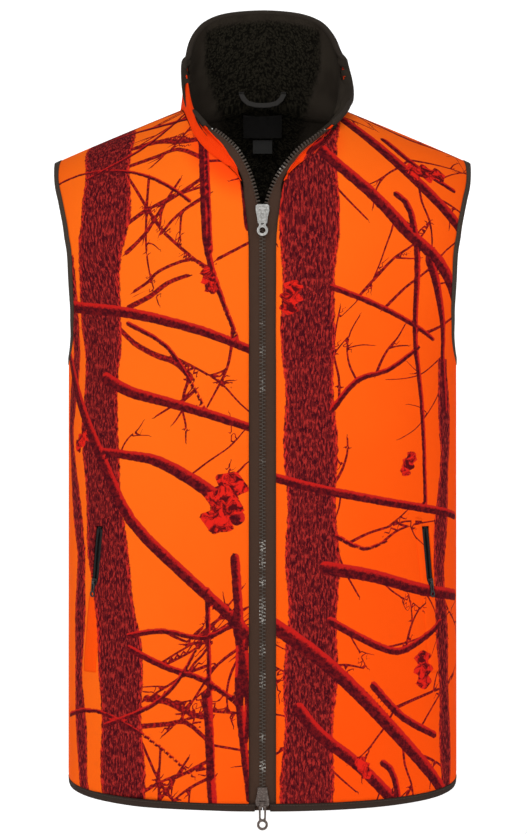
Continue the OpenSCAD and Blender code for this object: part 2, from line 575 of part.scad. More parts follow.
left_front_shell();
right_front_shell();
back_shell();
left_front_lining();
right_front_lining();
back_lining();
collar_shell();
collar_lining();
left_armhole_binding();
right_armhole_binding();
hem_binding();
left_zip_tape();
right_zip_tape();
left_zip_teeth();
right_zip_teeth();
left_top_stop();
right_top_stop();
left_bottom_pin();
right_bottom_pin();
top_slider();
top_slider_pull();
bottom_slider();
bottom_slider_pull();
left_pocket_welt();
left_pocket_bag();
left_pocket_zip_tape();
left_pocket_coil();
left_pocket_stops();
left_pocket_slider();
left_pocket_pull();
right_pocket_welt();
right_pocket_bag();
right_pocket_zip_tape();
right_pocket_coil();
right_pocket_stops();
right_pocket_slider();
right_pocket_pull();
loop_anchors();
hang_loop();
main_label();
size_label();
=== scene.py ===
import math

import bmesh
import bpy
import numpy as np
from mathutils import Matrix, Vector


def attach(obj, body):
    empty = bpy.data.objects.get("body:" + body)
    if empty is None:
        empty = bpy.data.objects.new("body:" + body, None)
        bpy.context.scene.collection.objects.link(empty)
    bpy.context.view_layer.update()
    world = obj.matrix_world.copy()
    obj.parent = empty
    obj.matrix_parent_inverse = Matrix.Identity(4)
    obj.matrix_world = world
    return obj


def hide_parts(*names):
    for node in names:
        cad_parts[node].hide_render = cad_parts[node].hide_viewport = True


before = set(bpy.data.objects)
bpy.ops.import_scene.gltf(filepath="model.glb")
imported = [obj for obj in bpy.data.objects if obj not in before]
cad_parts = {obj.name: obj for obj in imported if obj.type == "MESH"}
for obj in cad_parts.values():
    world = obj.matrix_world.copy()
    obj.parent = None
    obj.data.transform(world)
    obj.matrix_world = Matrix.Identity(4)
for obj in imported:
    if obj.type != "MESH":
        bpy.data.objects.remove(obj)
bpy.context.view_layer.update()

# --- Studio -------------------------------------------------------------------------------
# The vest hangs in front of a white sweep as if on an unseen form. A long lens stands level
# with its middle, with one broad soft light over it and fill from both sides.
MM = 0.001
LENS_DISTANCE = 2.2
LENS_HEIGHT = -0.307
WALL = 6.0     # far enough behind that the vest can be walked round
FLOOR = -0.86
BEND = 0.8     # radius of the sweep between floor and wall

scene = bpy.context.scene
scene.view_settings.view_transform = "Standard"
lens = bpy.data.cameras.new("lens")
lens.sensor_width = 36
lens.lens = 36 * LENS_DISTANCE / 0.834
camera = bpy.data.objects.new("camera", lens)
camera.location = (0.001, -LENS_DISTANCE, LENS_HEIGHT)
camera.rotation_euler = (math.radians(90), 0, 0)
scene.collection.objects.link(camera)
scene.camera = camera

world = bpy.data.worlds.new("studio")
world.use_nodes = True
world.node_tree.nodes["Background"].inputs["Color"].default_value = (1, 1, 1, 1)
world.node_tree.nodes["Background"].inputs["Strength"].default_value = 0.62
scene.world = world


def softbox(name, place, aim, size, power):
    light = bpy.data.lights.new(name, "AREA")
    light.shape = "RECTANGLE"
    light.size, light.size_y = size
    light.energy = power
    box = bpy.data.objects.new(name, light)
    box.location = place
    box.rotation_euler = (Vector(aim) - Vector(place)).to_track_quat("-Z", "Y").to_euler()
    scene.collection.objects.link(box)


softbox("key", (-0.9, -2.4, 1.5), (0, 0, -0.2), (1.6, 1.2), 34)
softbox("fill_right", (1.8, -1.9, 0.2), (0, 0, -0.35), (1.0, 1.6), 13)
softbox("fill_low", (-1.2, -2.4, -0.5), (0, 0, -0.5), (1.2, 0.8), 8)


def material(name):
    made = bpy.data.materials.new(name)
    made.use_nodes = True
    return made, made.node_tree.nodes["Principled BSDF"]


def sweep_mesh():
    profile = [(-4.0, FLOOR), (WALL - BEND, FLOOR)]
    profile += [(WALL - BEND + BEND * math.sin(a), FLOOR + BEND - BEND * math.cos(a))
                for a in np.linspace(0.1, math.pi / 2, 12)]
    profile += [(WALL, 2.6)]
    mesh = bpy.data.meshes.new("sweep")
    points = [(x, y, z) for x in (-4.5, 4.5) for y, z in profile]
    n = len(profile)
    mesh.from_pydata(points, [], [(i, n + i, n + i + 1, i + 1) for i in range(n - 1)])
    mesh.shade_smooth()
    return mesh


sweep = bpy.data.objects.new("sweep", sweep_mesh())
scene.collection.objects.link(sweep)
paper, shader = material("sweep_paper")
shader.inputs["Base Color"].default_value = (0.9, 0.9, 0.9, 1)
shader.inputs["Roughness"].default_value = 0.95
shader.inputs["Emission Color"].default_value = (1, 1, 1, 1)
shader.inputs["Emission Strength"].default_value = 0.42
sweep.data.materials.append(paper)

# --- The form -----------------------------------------------------------------------------
# Every panel is cut to follow the same filled-out body: an oval trunk, wider at the chest, that
# rounds over into sloping shoulders. A spot on it is an angle round the body and a height
# along the surface, on the front (-1) or the back (1); each layer lies at its own depth.
SQUARE, CROWN = 2.4, 2.3
HALF_WAIST, FLARE = 193.0, 22.0
DEPTH = {-1: 122.0, 1: 120.0}
DOME_Z, DOME_ARC = -130.0, 190.0


def ease(t):
    t = np.clip(t, 0, 1)
    return t * t * (3 - 2 * t)


def half_width(z):
    return HALF_WAIST + FLARE * ease((np.minimum(z, DOME_Z) + 250) / 120)


def ridge(x):
    return 31 - 0.41 * np.abs(x)


def skin(spots, off=0.0, side=-1):
    """Points in millimetres for spots (angle, height); off is the depth below the outer face."""
    angle, height = spots[..., 0], spots[..., 1]
    x = (half_width(DOME_Z + height) - off) * np.sign(angle) * np.sin(np.abs(angle)) ** (2 / SQUARE)
    reach = (DEPTH[side] - off) * np.clip(np.cos(angle), 0, 1) ** (2 / SQUARE)
    turn = np.pi / 2 * np.clip(height / DOME_ARC, 0, 1)
    y = reach * np.clip(np.cos(turn), 0, 1) ** (2 / CROWN)
    rise = (ridge(x) - off - DOME_Z) * np.sin(turn) ** (2 / CROWN)
    return np.stack([x, side * (y + 0.15), np.where(height <= 0, DOME_Z + height, DOME_Z + rise)], -1)


def angle_at(x, z):
    return np.sign(x) * np.arcsin(np.clip(np.abs(x) / half_width(z), 0, 1) ** (SQUARE / 2))


def spot(x, z):
    t = np.clip((z - DOME_Z) / (ridge(x) - DOME_Z), 0, 1)
    height = z - DOME_Z if z <= DOME_Z else DOME_ARC * np.arcsin(t ** (CROWN / 2)) / (np.pi / 2)
    return np.array([angle_at(x, z), height])


def spot_above(x, y, side):
    angle = angle_at(x, 0)
    reach = DEPTH[side] * np.cos(angle) ** (2 / SQUARE)
    return np.array([angle, DOME_ARC * np.arccos(min(abs(y) / reach, 1) ** (CROWN / 2)) / (np.pi / 2)])


def curve(knots, n):
    """n + 1 points on the smooth curve through the knots."""
    k = np.array(knots, float)
    t = np.linspace(0, len(k) - 1, n + 1)
    i = np.minimum(t.astype(int), len(k) - 2)
    f = (t - i)[:, None]
    a, b, c, d = k[np.maximum(i - 1, 0)], k[i], k[i + 1], k[np.minimum(i + 2, len(k) - 1)]
    return 0.5 * (2 * b + (c - a) * f + (2 * a - 5 * b + 4 * c - d) * f**2 + (3 * b - a - 3 * c + d) * f**3)


def inset(line, width, side, first, last):
    """The line of spots moved over the surface by width, to its left."""
    heading = np.gradient(line, axis=0)
    heading[0], heading[-1] = first, last
    step = np.radians(0.2), 0.2
    by_angle = (skin(line, 0, side) - skin(line - [step[0], 0], 0, side)) / step[0]
    by_height = (skin(line, 0, side) - skin(line - [0, step[1]], 0, side)) / step[1]
    e, f, g = (by_angle**2).sum(-1), (by_angle * by_height).sum(-1), (by_height**2).sum(-1)
    turned = np.stack([-f * heading[:, 0] - g * heading[:, 1], e * heading[:, 0] + f * heading[:, 1]], -1)
    size = np.linalg.norm(by_angle * turned[:, :1] + by_height * turned[:, 1:], axis=1)
    return line + turned * width / size[:, None]


HEM_FRONT, HEM_SIDE, HEM_BACK = -680.0, -669.0, -684.0
BINDING_WIDTH, CUT_GAP = 7.5, 0.2
ARMHOLE = {
    -1: [(0, -248), (0.6, -247), (2.6, -241), (6, -229), (9.5, -214), (14.6, -195), (23, -155), (22, -130),
         (16, -100), (10, -75)],
    1: [(0, -248), (0.6, -247), (2.6, -241), (6, -227), (9, -210), (12, -188), (18.4, -150), (16, -125),
        (12, -100), (8, -75)],
}
SHOULDER_TIP = np.array([angle_at(208.0, 0), DOME_ARC])
ARM_STEPS = 72


def armhole(side, steps=ARM_STEPS):
    knots = [spot(half_width(z) - inset_x, z) for inset_x, z in ARMHOLE[side]] + [SHOULDER_TIP]
    return curve(knots, steps)


def armhole_seam(side, width, steps=ARM_STEPS):
    return inset(armhole(side, steps), width, side, (-1, 0), (0, 1))


NECK_X, NECK_Y = 83.0, 56.0
FRONT_LINE = [(13, -256), (13, -190), (13.3, -140), (16, -112), (21, -84), (31, -71), (52, -54),
              (65, -37), (74, -17)]
NECK_TIP = np.array([angle_at(NECK_X, 0), DOME_ARC])


def front_edge():
    return curve([spot(x, z) for x, z in FRONT_LINE] + [NECK_TIP], ARM_STEPS)


def back_neck(n):
    turn = np.radians(np.linspace(90, -90, n + 1))[1:-1]
    inner = [spot_above(NECK_X * np.sign(a) * abs(math.sin(a)) ** 0.9, NECK_Y * math.cos(a) ** 0.9, 1)
             for a in turn]
    return np.array([NECK_TIP] + inner + [NECK_TIP * [-1, 1]])


POCKET_TOP, POCKET_END = (157.0, -412.0), (169.0, -545.0)
SLOT_HALF = np.radians(2.15)
SIDE_ROWS = np.concatenate([np.linspace(-612, -545, 20)[:-1], np.linspace(-545, -412, 40)[:-1],
                            np.linspace(-412, -260, 46)])


def slot_angle(z):
    t = np.clip((POCKET_TOP[1] - z) / (POCKET_TOP[1] - POCKET_END[1]), 0, 1)
    return angle_at(POCKET_TOP[0] + (POCKET_END[0] - POCKET_TOP[0]) * t, z)


ROW_GAP = 3.6
FRONT_COLUMNS = (58, 3, 22)   # across the front, across the slot, and on to the side seam


def column_places(z):
    edge, slot = angle_at(13, z), slot_angle(z)
    near, far = [(slot + s * SLOT_HALF - edge) / (np.pi / 2 - edge) for s in (-1, 1)]
    a, b, c = FRONT_COLUMNS
    return np.concatenate([np.linspace(0, near, a + 1)[:-1], np.linspace(near, far, b + 1)[:-1],
                           np.linspace(far, 1, c + 1)])


def front_spots():
    lower = np.concatenate([np.linspace(HEM_SIDE + BINDING_WIDTH + CUT_GAP, -612, 18)[:-1], SIDE_ROWS])
    left = np.concatenate([[spot(13, z) for z in lower], front_edge()])
    right = np.concatenate([[(np.pi / 2, z - DOME_Z) for z in lower],
                            armhole_seam(-1, BINDING_WIDTH + CUT_GAP)])
    heights = np.concatenate([lower, np.full(ARM_STEPS + 1, -412.0)])
    heights[len(lower):] = lower[-1]
    rows, places = [], []
    for r in range(len(left)):
        u = column_places(heights[r])[:, None]
        row = left[r] * (1 - u) + right[r] * u
        if heights[r] < -612:   # the lowest rows ease into the curve of the hem
            share = (-612 - heights[r]) / (-612 - lower[0])
            hem = hem_height(-1, row[:, 0]) + BINDING_WIDTH + CUT_GAP
            row[:, 1] += (hem - (lower[0] - DOME_Z)) * share
        if rows:   # no two rows further apart than the print needs
            n = math.ceil(np.abs(row - rows[-1])[:, 1].max() / ROW_GAP)
            rows += [rows[-1] + (row - rows[-1]) * k / n for k in range(1, n)]
            places += [places[-1] + (heights[r] - places[-1]) * k / n for k in range(1, n)]
        rows.append(row)
        places.append(heights[r])
    return np.array(rows), np.array(places)


def hem_height(side, angle):
    low = HEM_FRONT if side < 0 else HEM_BACK
    return low + (HEM_SIDE - low) * (np.abs(angle) / (np.pi / 2)) ** 2 - DOME_Z


def woven(left, right, bottom, top, rise):
    v = np.asarray(rise)[:, None, None]
    u = np.linspace(0, 1, len(bottom))[None, :, None]
    flat = (bottom[0] * (1 - u) + bottom[-1] * u) * (1 - v) + (top[0] * (1 - u) + top[-1] * u) * v
    return bottom[None] * (1 - v) + top[None] * v + left[:, None] * (1 - u) + right[:, None] * u - flat


def back_spots():
    lower = np.linspace(HEM_SIDE + BINDING_WIDTH + CUT_GAP, -258, 118)
    side = np.concatenate([[(np.pi / 2, z - DOME_Z) for z in lower],
                           armhole_seam(1, BINDING_WIDTH + CUT_GAP)])
    neck = back_neck(60)
    seam = np.linspace(side[-1], neck[0], 41)[:-1]
    top = np.concatenate([seam, neck, seam[::-1] * [-1, 1]])
    angle = np.linspace(np.pi / 2, -np.pi / 2, len(top))
    bottom = np.stack([angle, hem_height(1, angle) + BINDING_WIDTH + CUT_GAP], -1)
    rise = (side[:, 1] - side[0, 1]) / (side[-1, 1] - side[0, 1])
    return woven(side, side * [-1, 1], bottom, top, rise)


def settle(points):
    """The ease in the cloth: it eases in at the hem and stands in slow soft folds."""
    x, y, z = points[..., 0], points[..., 1], points[..., 2]
    out = np.stack([x / 190**2, y / 122**2, np.zeros_like(x)], -1)
    out /= np.maximum(np.linalg.norm(out, axis=-1, keepdims=True), 1e-9)
    hem = 1.6 * ease((-655 - z) / 25)
    low = ease((-330 - z) / 260)
    folds = low * (1.3 * np.sin(x / 27 + 0.6) * np.exp(-((np.abs(x) - 95) / 60) ** 2)
                   + 0.9 * np.sin(x / 16 - 1 + z / 190) * np.exp(-((np.abs(x) - 130) / 40) ** 2))
    under_arm = np.exp(-(((z + 258) / 26) ** 2)) * np.exp(-(((np.abs(y) - 62) / 26) ** 2))
    arm = -1.4 * under_arm * ease((np.abs(x) - 120) / 60)
    near_zip = ease((np.abs(x) - 22) / 30)
    return points + out * ((folds + arm) * near_zip - hem * near_zip)[..., None]


def slab(name, outer, inner, cloth=None, hole=None):
    """A closed sheet between two grids of points in millimetres. cloth is each point's place
    on the flat cloth; hole is (rows, columns), the slices of cells left out."""
    rows, columns = outer.shape[:2]
    index = np.arange(rows * columns).reshape(rows, columns)
    size = rows * columns
    keep = np.ones((rows - 1, columns - 1), bool)
    if hole:
        keep[hole] = False
    a, b, c, d = index[:-1, :-1], index[:-1, 1:], index[1:, 1:], index[1:, :-1]
    quads = np.stack([a, b, c, d], -1)[keep]
    faces = [quads, quads[:, ::-1] + size]
    framed = np.pad(keep, 1)
    for there, (p, q) in ((framed[:-2, 1:-1], (a, b)), (framed[1:-1, 2:], (b, c)),
                          (framed[2:, 1:-1], (c, d)), (framed[1:-1, :-2], (d, a))):
        edge = keep & ~there
        faces.append(np.stack([q[edge], p[edge], p[edge] + size, q[edge] + size], -1))
    faces = np.concatenate(faces)
    used, faces = np.unique(faces, return_inverse=True)
    faces = faces.reshape(-1, 4)
    mesh = bpy.data.meshes.new(name)
    points = np.concatenate([outer.reshape(-1, 3), inner.reshape(-1, 3)])[used] * MM
    mesh.from_pydata(points.tolist(), [], faces.tolist())
    if cloth is not None:
        place = np.concatenate([cloth.reshape(-1, 2)] * 2)[used]
        layer = mesh.uv_layers.new(name="cloth")
        layer.data.foreach_set("uv", (place[faces.reshape(-1)] * MM).reshape(-1))
    mesh.shade_smooth()
    made = bpy.data.objects.new(name, mesh)
    scene.collection.objects.link(made)
    return made, used


# --- The printed fleece -------------------------------------------------------------------
# Blaze orange knit face of a bonded fleece, printed edge to edge with bare trunks, limbs,
# twigs and dead leaves in maroon and red. The print is drawn on the flat cloth before cutting,
# so each piece carries how far every point of it lies from the nearest printed line.
TRUNKS = [  # (half width, centre line as (across, up))
    (24, [(-148, 60), (-151, -120), (-157, -220), (-159, -320), (-150, -440), (-138, -520), (-134, -690)]),
    (24.5, [(47, 60), (44, -150), (45, -300), (48, -480), (44, -600), (41, -690)]),
    (9, [(-196, -150), (-188, -320), (-176, -440), (-179, -560), (-172, -690)]),
    (10, [(176, -250), (178, -340), (171, -450), (176, -560), (180, -690)]),
]
LIMBS = [  # (width at the start, width at the end, points as (across, up))
    (13, 8, [(-215, -196), (-178, -201), (-126, -208), (-59, -225), (-8, -245)]),
    (12, 8, [(-150, -270), (-126, -283), (-97, -291), (-55, -303), (-8, -318)]),
    (13, 10, [(-205, -250), (-178, -291), (-154, -348), (-126, -405), (-73, -457), (-21, -504),
              (-4, -530)]),
    (7, 15, [(-156, -340), (-125, -344), (-97, -350), (-55, -374), (-24, -402)]),
    (8, 4, [(-60, -40), (-57, -68), (-53, -144), (-38, -196), (-24, -232)]),
    (9, 7, [(-26, -440), (-21, -520), (-22, -575), (-12, -668)]),
    (12, 7, [(-24, -497), (-14, -560), (-10, -610)]),
    (12, 11, [(38, -52), (60, -74), (102, -101), (140, -132), (172, -160), (205, -200)]),
    (7, 5, [(128, -100), (142, -116), (147, -196), (153, -291), (157, -392)]),
    (9, 7, [(160, -156), (170, -190), (176, -234), (178, -300)]),
    (9, 8, [(4, -362), (40, -372), (83, -381), (130, -390), (190, -404)]),
    (13, 11, [(60, -450), (105, -458), (154, -473), (190, -482)]),
    (15, 12, [(4, -500), (40, -524), (78, -556), (122, -602), (159, -646), (185, -690)]),
    (8, 6, [(64, -500), (100, -520), (130, -531), (154, -520), (172, -505)]),
    (6, 4, [(66, -184), (105, -199), (142, -217), (165, -232)]),
    (8, 7, [(118, -34), (150, -62), (185, -80)]),
    (7, 5, [(-128, -528), (-90, -545), (-55, -556), (-20, -580)]),
    (6, 4, [(-128, -516), (-95, -510), (-55, -516), (-24, -500)]),
    (5, 4, [(-52, -470), (-50, -560), (-44, -690)]),
    (5, 3, [(-128, -218), (-92, -239), (-69, -272), (-53, -302)]),
    (5, 3, [(-168, -70), (-120, -52), (-90, -30), (-70, -2)]),
    (6, 4, [(66, -300), (90, -272), (120, -262), (150, -240)]),
    (5, 3, [(70, -420), (96, -432), (118, -425)]),
    (5, 3, [(-190, -600), (-160, -590), (-110, -612), (-62, -650)]),
]
LEAVES = [  # (half length, turn in degrees, centre)
    (31, 68, (-36, -388)), (17, 80, (27, -194)), (22, 15, (158, -66)), (13, 60, (140, -352)),
    (19, 95, (155, -550)), (13, 100, (-50, -178)), (14, 40, (-176, -330)), (12, 120, (96, -640)),
]
TWIGS = [  # (width at the start, width at the end, points as (across, up))
    (2.6, 3.4, [(-128, -83), (-108, -117), (-85, -140), (-50, -170)]),
    (2, 4, [(-78, -94), (-102, -123), (-118, -140), (-130, -151)]),
    (3, 2, [(-131, -127), (-109, -116), (-87, -108), (-59, -103)]),
    (2.6, 3, [(-123, -188), (-109, -179), (-97, -168), (-68, -158), (-50, -167)]),
    (3, 2.6, [(-43, -158), (-12, -142)]), (5, 4, [(-130, -69), (-100, -66), (-81, -64), (-59, -78)]),
    (7, 6, [(-123, -45), (-100, -47), (-78, -56), (-57, -59)]),
    (5, 3.5, [(-128, -203), (-106, -192), (-90, -180), (-71, -173)]),
    (5, 6, [(-142, -217), (-123, -236), (-102, -248), (-83, -255), (-68, -269)]),
]
PRINT_HEIGHT = 540.0     # the drawing repeats up the cloth after this much
TWIG_COUNT = 58


def arc_table():
    angle = np.linspace(0, np.pi / 2, 400)
    line = skin(np.stack([angle, np.full_like(angle, -300.0)], -1))
    return angle, np.concatenate([[0], np.cumsum(np.linalg.norm(np.diff(line, axis=0), axis=1))])


ARC_ANGLES, ARC_LENGTHS = arc_table()


def on_cloth(spots):
    """Where each spot lies on the flat cloth: (across from centre front, up), in millimetres."""
    across = np.sign(spots[..., 0]) * np.interp(np.abs(spots[..., 0]), ARC_ANGLES, ARC_LENGTHS)
    return np.stack([across, spots[..., 1] + DOME_Z], -1)


def drawn(points):
    """A line drawn as seen from the front, laid out on the cloth."""
    laid = []
    for x, z in points:
        angle = angle_at(min(abs(x), 189.0) * np.sign(x), min(z, DOME_Z))
        height = z - DOME_Z if z <= DOME_Z else (z - DOME_Z) * 1.12
        laid.append(on_cloth(np.array([float(angle), height])))
    return np.array(laid)


def segments(lines):
    """(start, end, half width at start, at end) for every stretch of every line."""
    found = []
    for start_w, end_w, points in lines:
        line = curve(points, max(4, 3 * (len(points) - 1)))
        w = np.linspace(start_w, end_w, len(line)) / 2
        found += [(*line[i], *line[i + 1], w[i], w[i + 1]) for i in range(len(line) - 1)]
    return np.array(found)


def grown_twigs(rng):
    """Thin bent twigs that fork off the limbs and cross the open orange between them."""
    lines = []
    limbs = [drawn(points) for _, _, points in LIMBS]
    limbs = limbs[3:8] + limbs[9:]
    for i in range(TWIG_COUNT):
        limb = limbs[i % len(limbs)]
        at = rng.uniform(0.05, 0.95) * (len(limb) - 1)
        j = min(int(at), len(limb) - 2)
        start = limb[j] + (limb[j + 1] - limb[j]) * (at - j)
        along = limb[j + 1] - limb[j]
        heading = math.atan2(along[1], along[0]) + rng.choice([-1, 1]) * rng.uniform(0.45, 1.35)
        length, width = rng.uniform(38, 120), rng.uniform(1.7, 3.6)
        points = [start]
        for _ in range(4):
            heading += rng.uniform(-0.32, 0.32)
            points.append(points[-1] + length / 4 * np.array([math.cos(heading), math.sin(heading)]))
        lines.append((width, width * 0.45, points))
        fork = points[2]
        side = heading + rng.choice([-1, 1]) * rng.uniform(0.5, 1.1)
        tip = fork + rng.uniform(12, 34) * np.array([math.cos(side), math.sin(side)])
        lines.append((width * 0.6, width * 0.35, [fork, (fork + tip) / 2 + rng.uniform(-2, 2, 2), tip]))
    return lines


LIMB_LINES = segments([(a, b, drawn(points)) for a, b, points in LIMBS])
TWIG_LINES = segments([(a, b, drawn(points)) for a, b, points in TWIGS]
                      + grown_twigs(np.random.default_rng(11)))
TRUNK_LINES = [(w, drawn(points)) for w, points in TRUNKS]


def nearest_line(cloth, lines):
    """Signed distance to the nearest line over its half width, and the plain distance past its edge."""
    across, over = np.full(len(cloth), 9.0), np.full(len(cloth), 99.0)
    for lift in (0, -PRINT_HEIGHT, PRINT_HEIGHT):
        for ax, ay, bx, by, wa, wb in lines:
            ay_, by_ = ay + lift, by + lift
            low, high = min(ay_, by_) - 30, max(ay_, by_) + 30
            near = np.flatnonzero((cloth[:, 1] > low) & (cloth[:, 1] < high)
                                  & (cloth[:, 0] > min(ax, bx) - 30) & (cloth[:, 0] < max(ax, bx) + 30))
            if not len(near):
                continue
            run = np.array([bx - ax, by_ - ay_])
            rel = cloth[near] - [ax, ay_]
            t = np.clip(rel @ run / (run @ run), 0, 1)
            away = rel - t[:, None] * run
            w = wa + (wb - wa) * t
            far = np.linalg.norm(away, axis=1)
            side = np.sign(run[0] * rel[:, 1] - run[1] * rel[:, 0]) * (1 if run[0] > 0 else -1)
            better = far - w < over[near]
            hit = near[better]
            over[hit] = (far - w)[better]
            across[hit] = np.clip(side * far / w, -9, 9)[better]
    return across, over


def print_fields(cloth):
    flat = cloth.reshape(-1, 2)
    trunk = np.full(len(flat), 99.0)
    for half, line in TRUNK_LINES:
        order = np.argsort(line[:, 1])
        centre = np.interp(flat[:, 1], line[order, 1], line[order, 0])
        inside = (flat[:, 1] > line[:, 1].min()) & (flat[:, 1] < line[:, 1].max())
        gap = np.abs(flat[:, 0] - centre) - half + 1.5 * np.sin(flat[:, 1] / 17 + half)
        trunk = np.minimum(trunk, np.where(inside, gap, 99))
    leaf = np.full(len(flat), 99.0)
    for size, turn, centre in LEAVES:
        centre = drawn([centre])[0]
        rel = flat - centre
        c, s = math.cos(math.radians(turn)), math.sin(math.radians(turn))
        u, v = rel[:, 0] * c + rel[:, 1] * s, rel[:, 1] * c - rel[:, 0] * s
        lobes = 0.5 + 0.17 * np.cos(np.abs(u) / size * 9.5) - 0.24 * np.abs(u / size) ** 2
        leaf = np.minimum(leaf, np.maximum(np.abs(v) - size * lobes, np.abs(u) - size))
    side, limb = nearest_line(flat, LIMB_LINES)
    twig, twig_gap = nearest_line(flat, TWIG_LINES)
    return {"trunk": trunk, "limb": limb, "limb_side": side, "leaf": leaf, "twig": twig,
            "twig_gap": twig_gap}


def carry(piece, used, fields):
    """Writes each field on the piece's points, the same on both faces."""
    for name, values in fields.items():
        layer = piece.data.attributes.new(name, "FLOAT", "POINT")
        both = np.tile(np.ravel(values), 2)[used]
        layer.data.foreach_set("value", both.astype(np.float32))


def put(tree, kind, sockets, out=0, **settings):
    """Adds a shader node, with its settings and sockets, and gives one of its outputs."""
    made = tree.nodes.new("ShaderNode" + kind)
    for key, value in settings.items():
        setattr(made, key, value)
    for key, value in sockets.items():
        if isinstance(value, bpy.types.NodeSocket):
            tree.links.new(value, made.inputs[key])
        else:
            made.inputs[key].default_value = value
    return made.outputs[out]


def calc(tree, how, a, b=0.0, c=0.0):
    return put(tree, "Math", {0: a, 1: b, 2: c}, operation=how)


def step(tree, value, low, high):
    """0 below low and 1 above high, smooth between; the other way round if low is above high."""
    return put(tree, "MapRange", {0: value, 1: low, 2: high}, interpolation_type="SMOOTHSTEP")


def tint(tree, share, a, b):
    a, b = [c if isinstance(c, bpy.types.NodeSocket) else (*c, 1) for c in (a, b)]
    return put(tree, "Mix", {0: share, 6: a, 7: b}, out=2, data_type="RGBA", clamp_factor=True)


def cloth_coords(tree, x=1.0, y=1.0):
    """Place on the flat cloth, in millimetres, stretched by x and y."""
    uv = put(tree, "UVMap", {}, uv_map="cloth")
    return put(tree, "VectorMath", {0: uv, 1: (1000 * x, 1000 * y, 0)}, operation="MULTIPLY")


def grain(tree, coords, scale, detail=3.0, rough=0.55, warp=0.0):
    return put(tree, "TexNoise", {"Vector": coords, "Scale": scale, "Detail": detail, "Roughness": rough,
                                  "Distortion": warp}, noise_dimensions="3D")


def field(tree, name):
    return put(tree, "Attribute", {}, out=2, attribute_name=name)


def knit_bump(tree, height, distance=0.0003, strength=0.5):
    return put(tree, "Bump", {"Strength": strength, "Distance": distance, "Height": height})


# the second orange is the ground's colour with painted shade in it
ORANGE, ORANGE_SHADED = (0.80, 0.122, 0.0066), (0.80, 0.066, 0.0028)
RED, MAROON, BARK = (0.50, 0.012, 0.009), (0.047, 0.0035, 0.0065), (0.105, 0.007, 0.0085)
FLECK = (0.36, 0.022, 0.018)


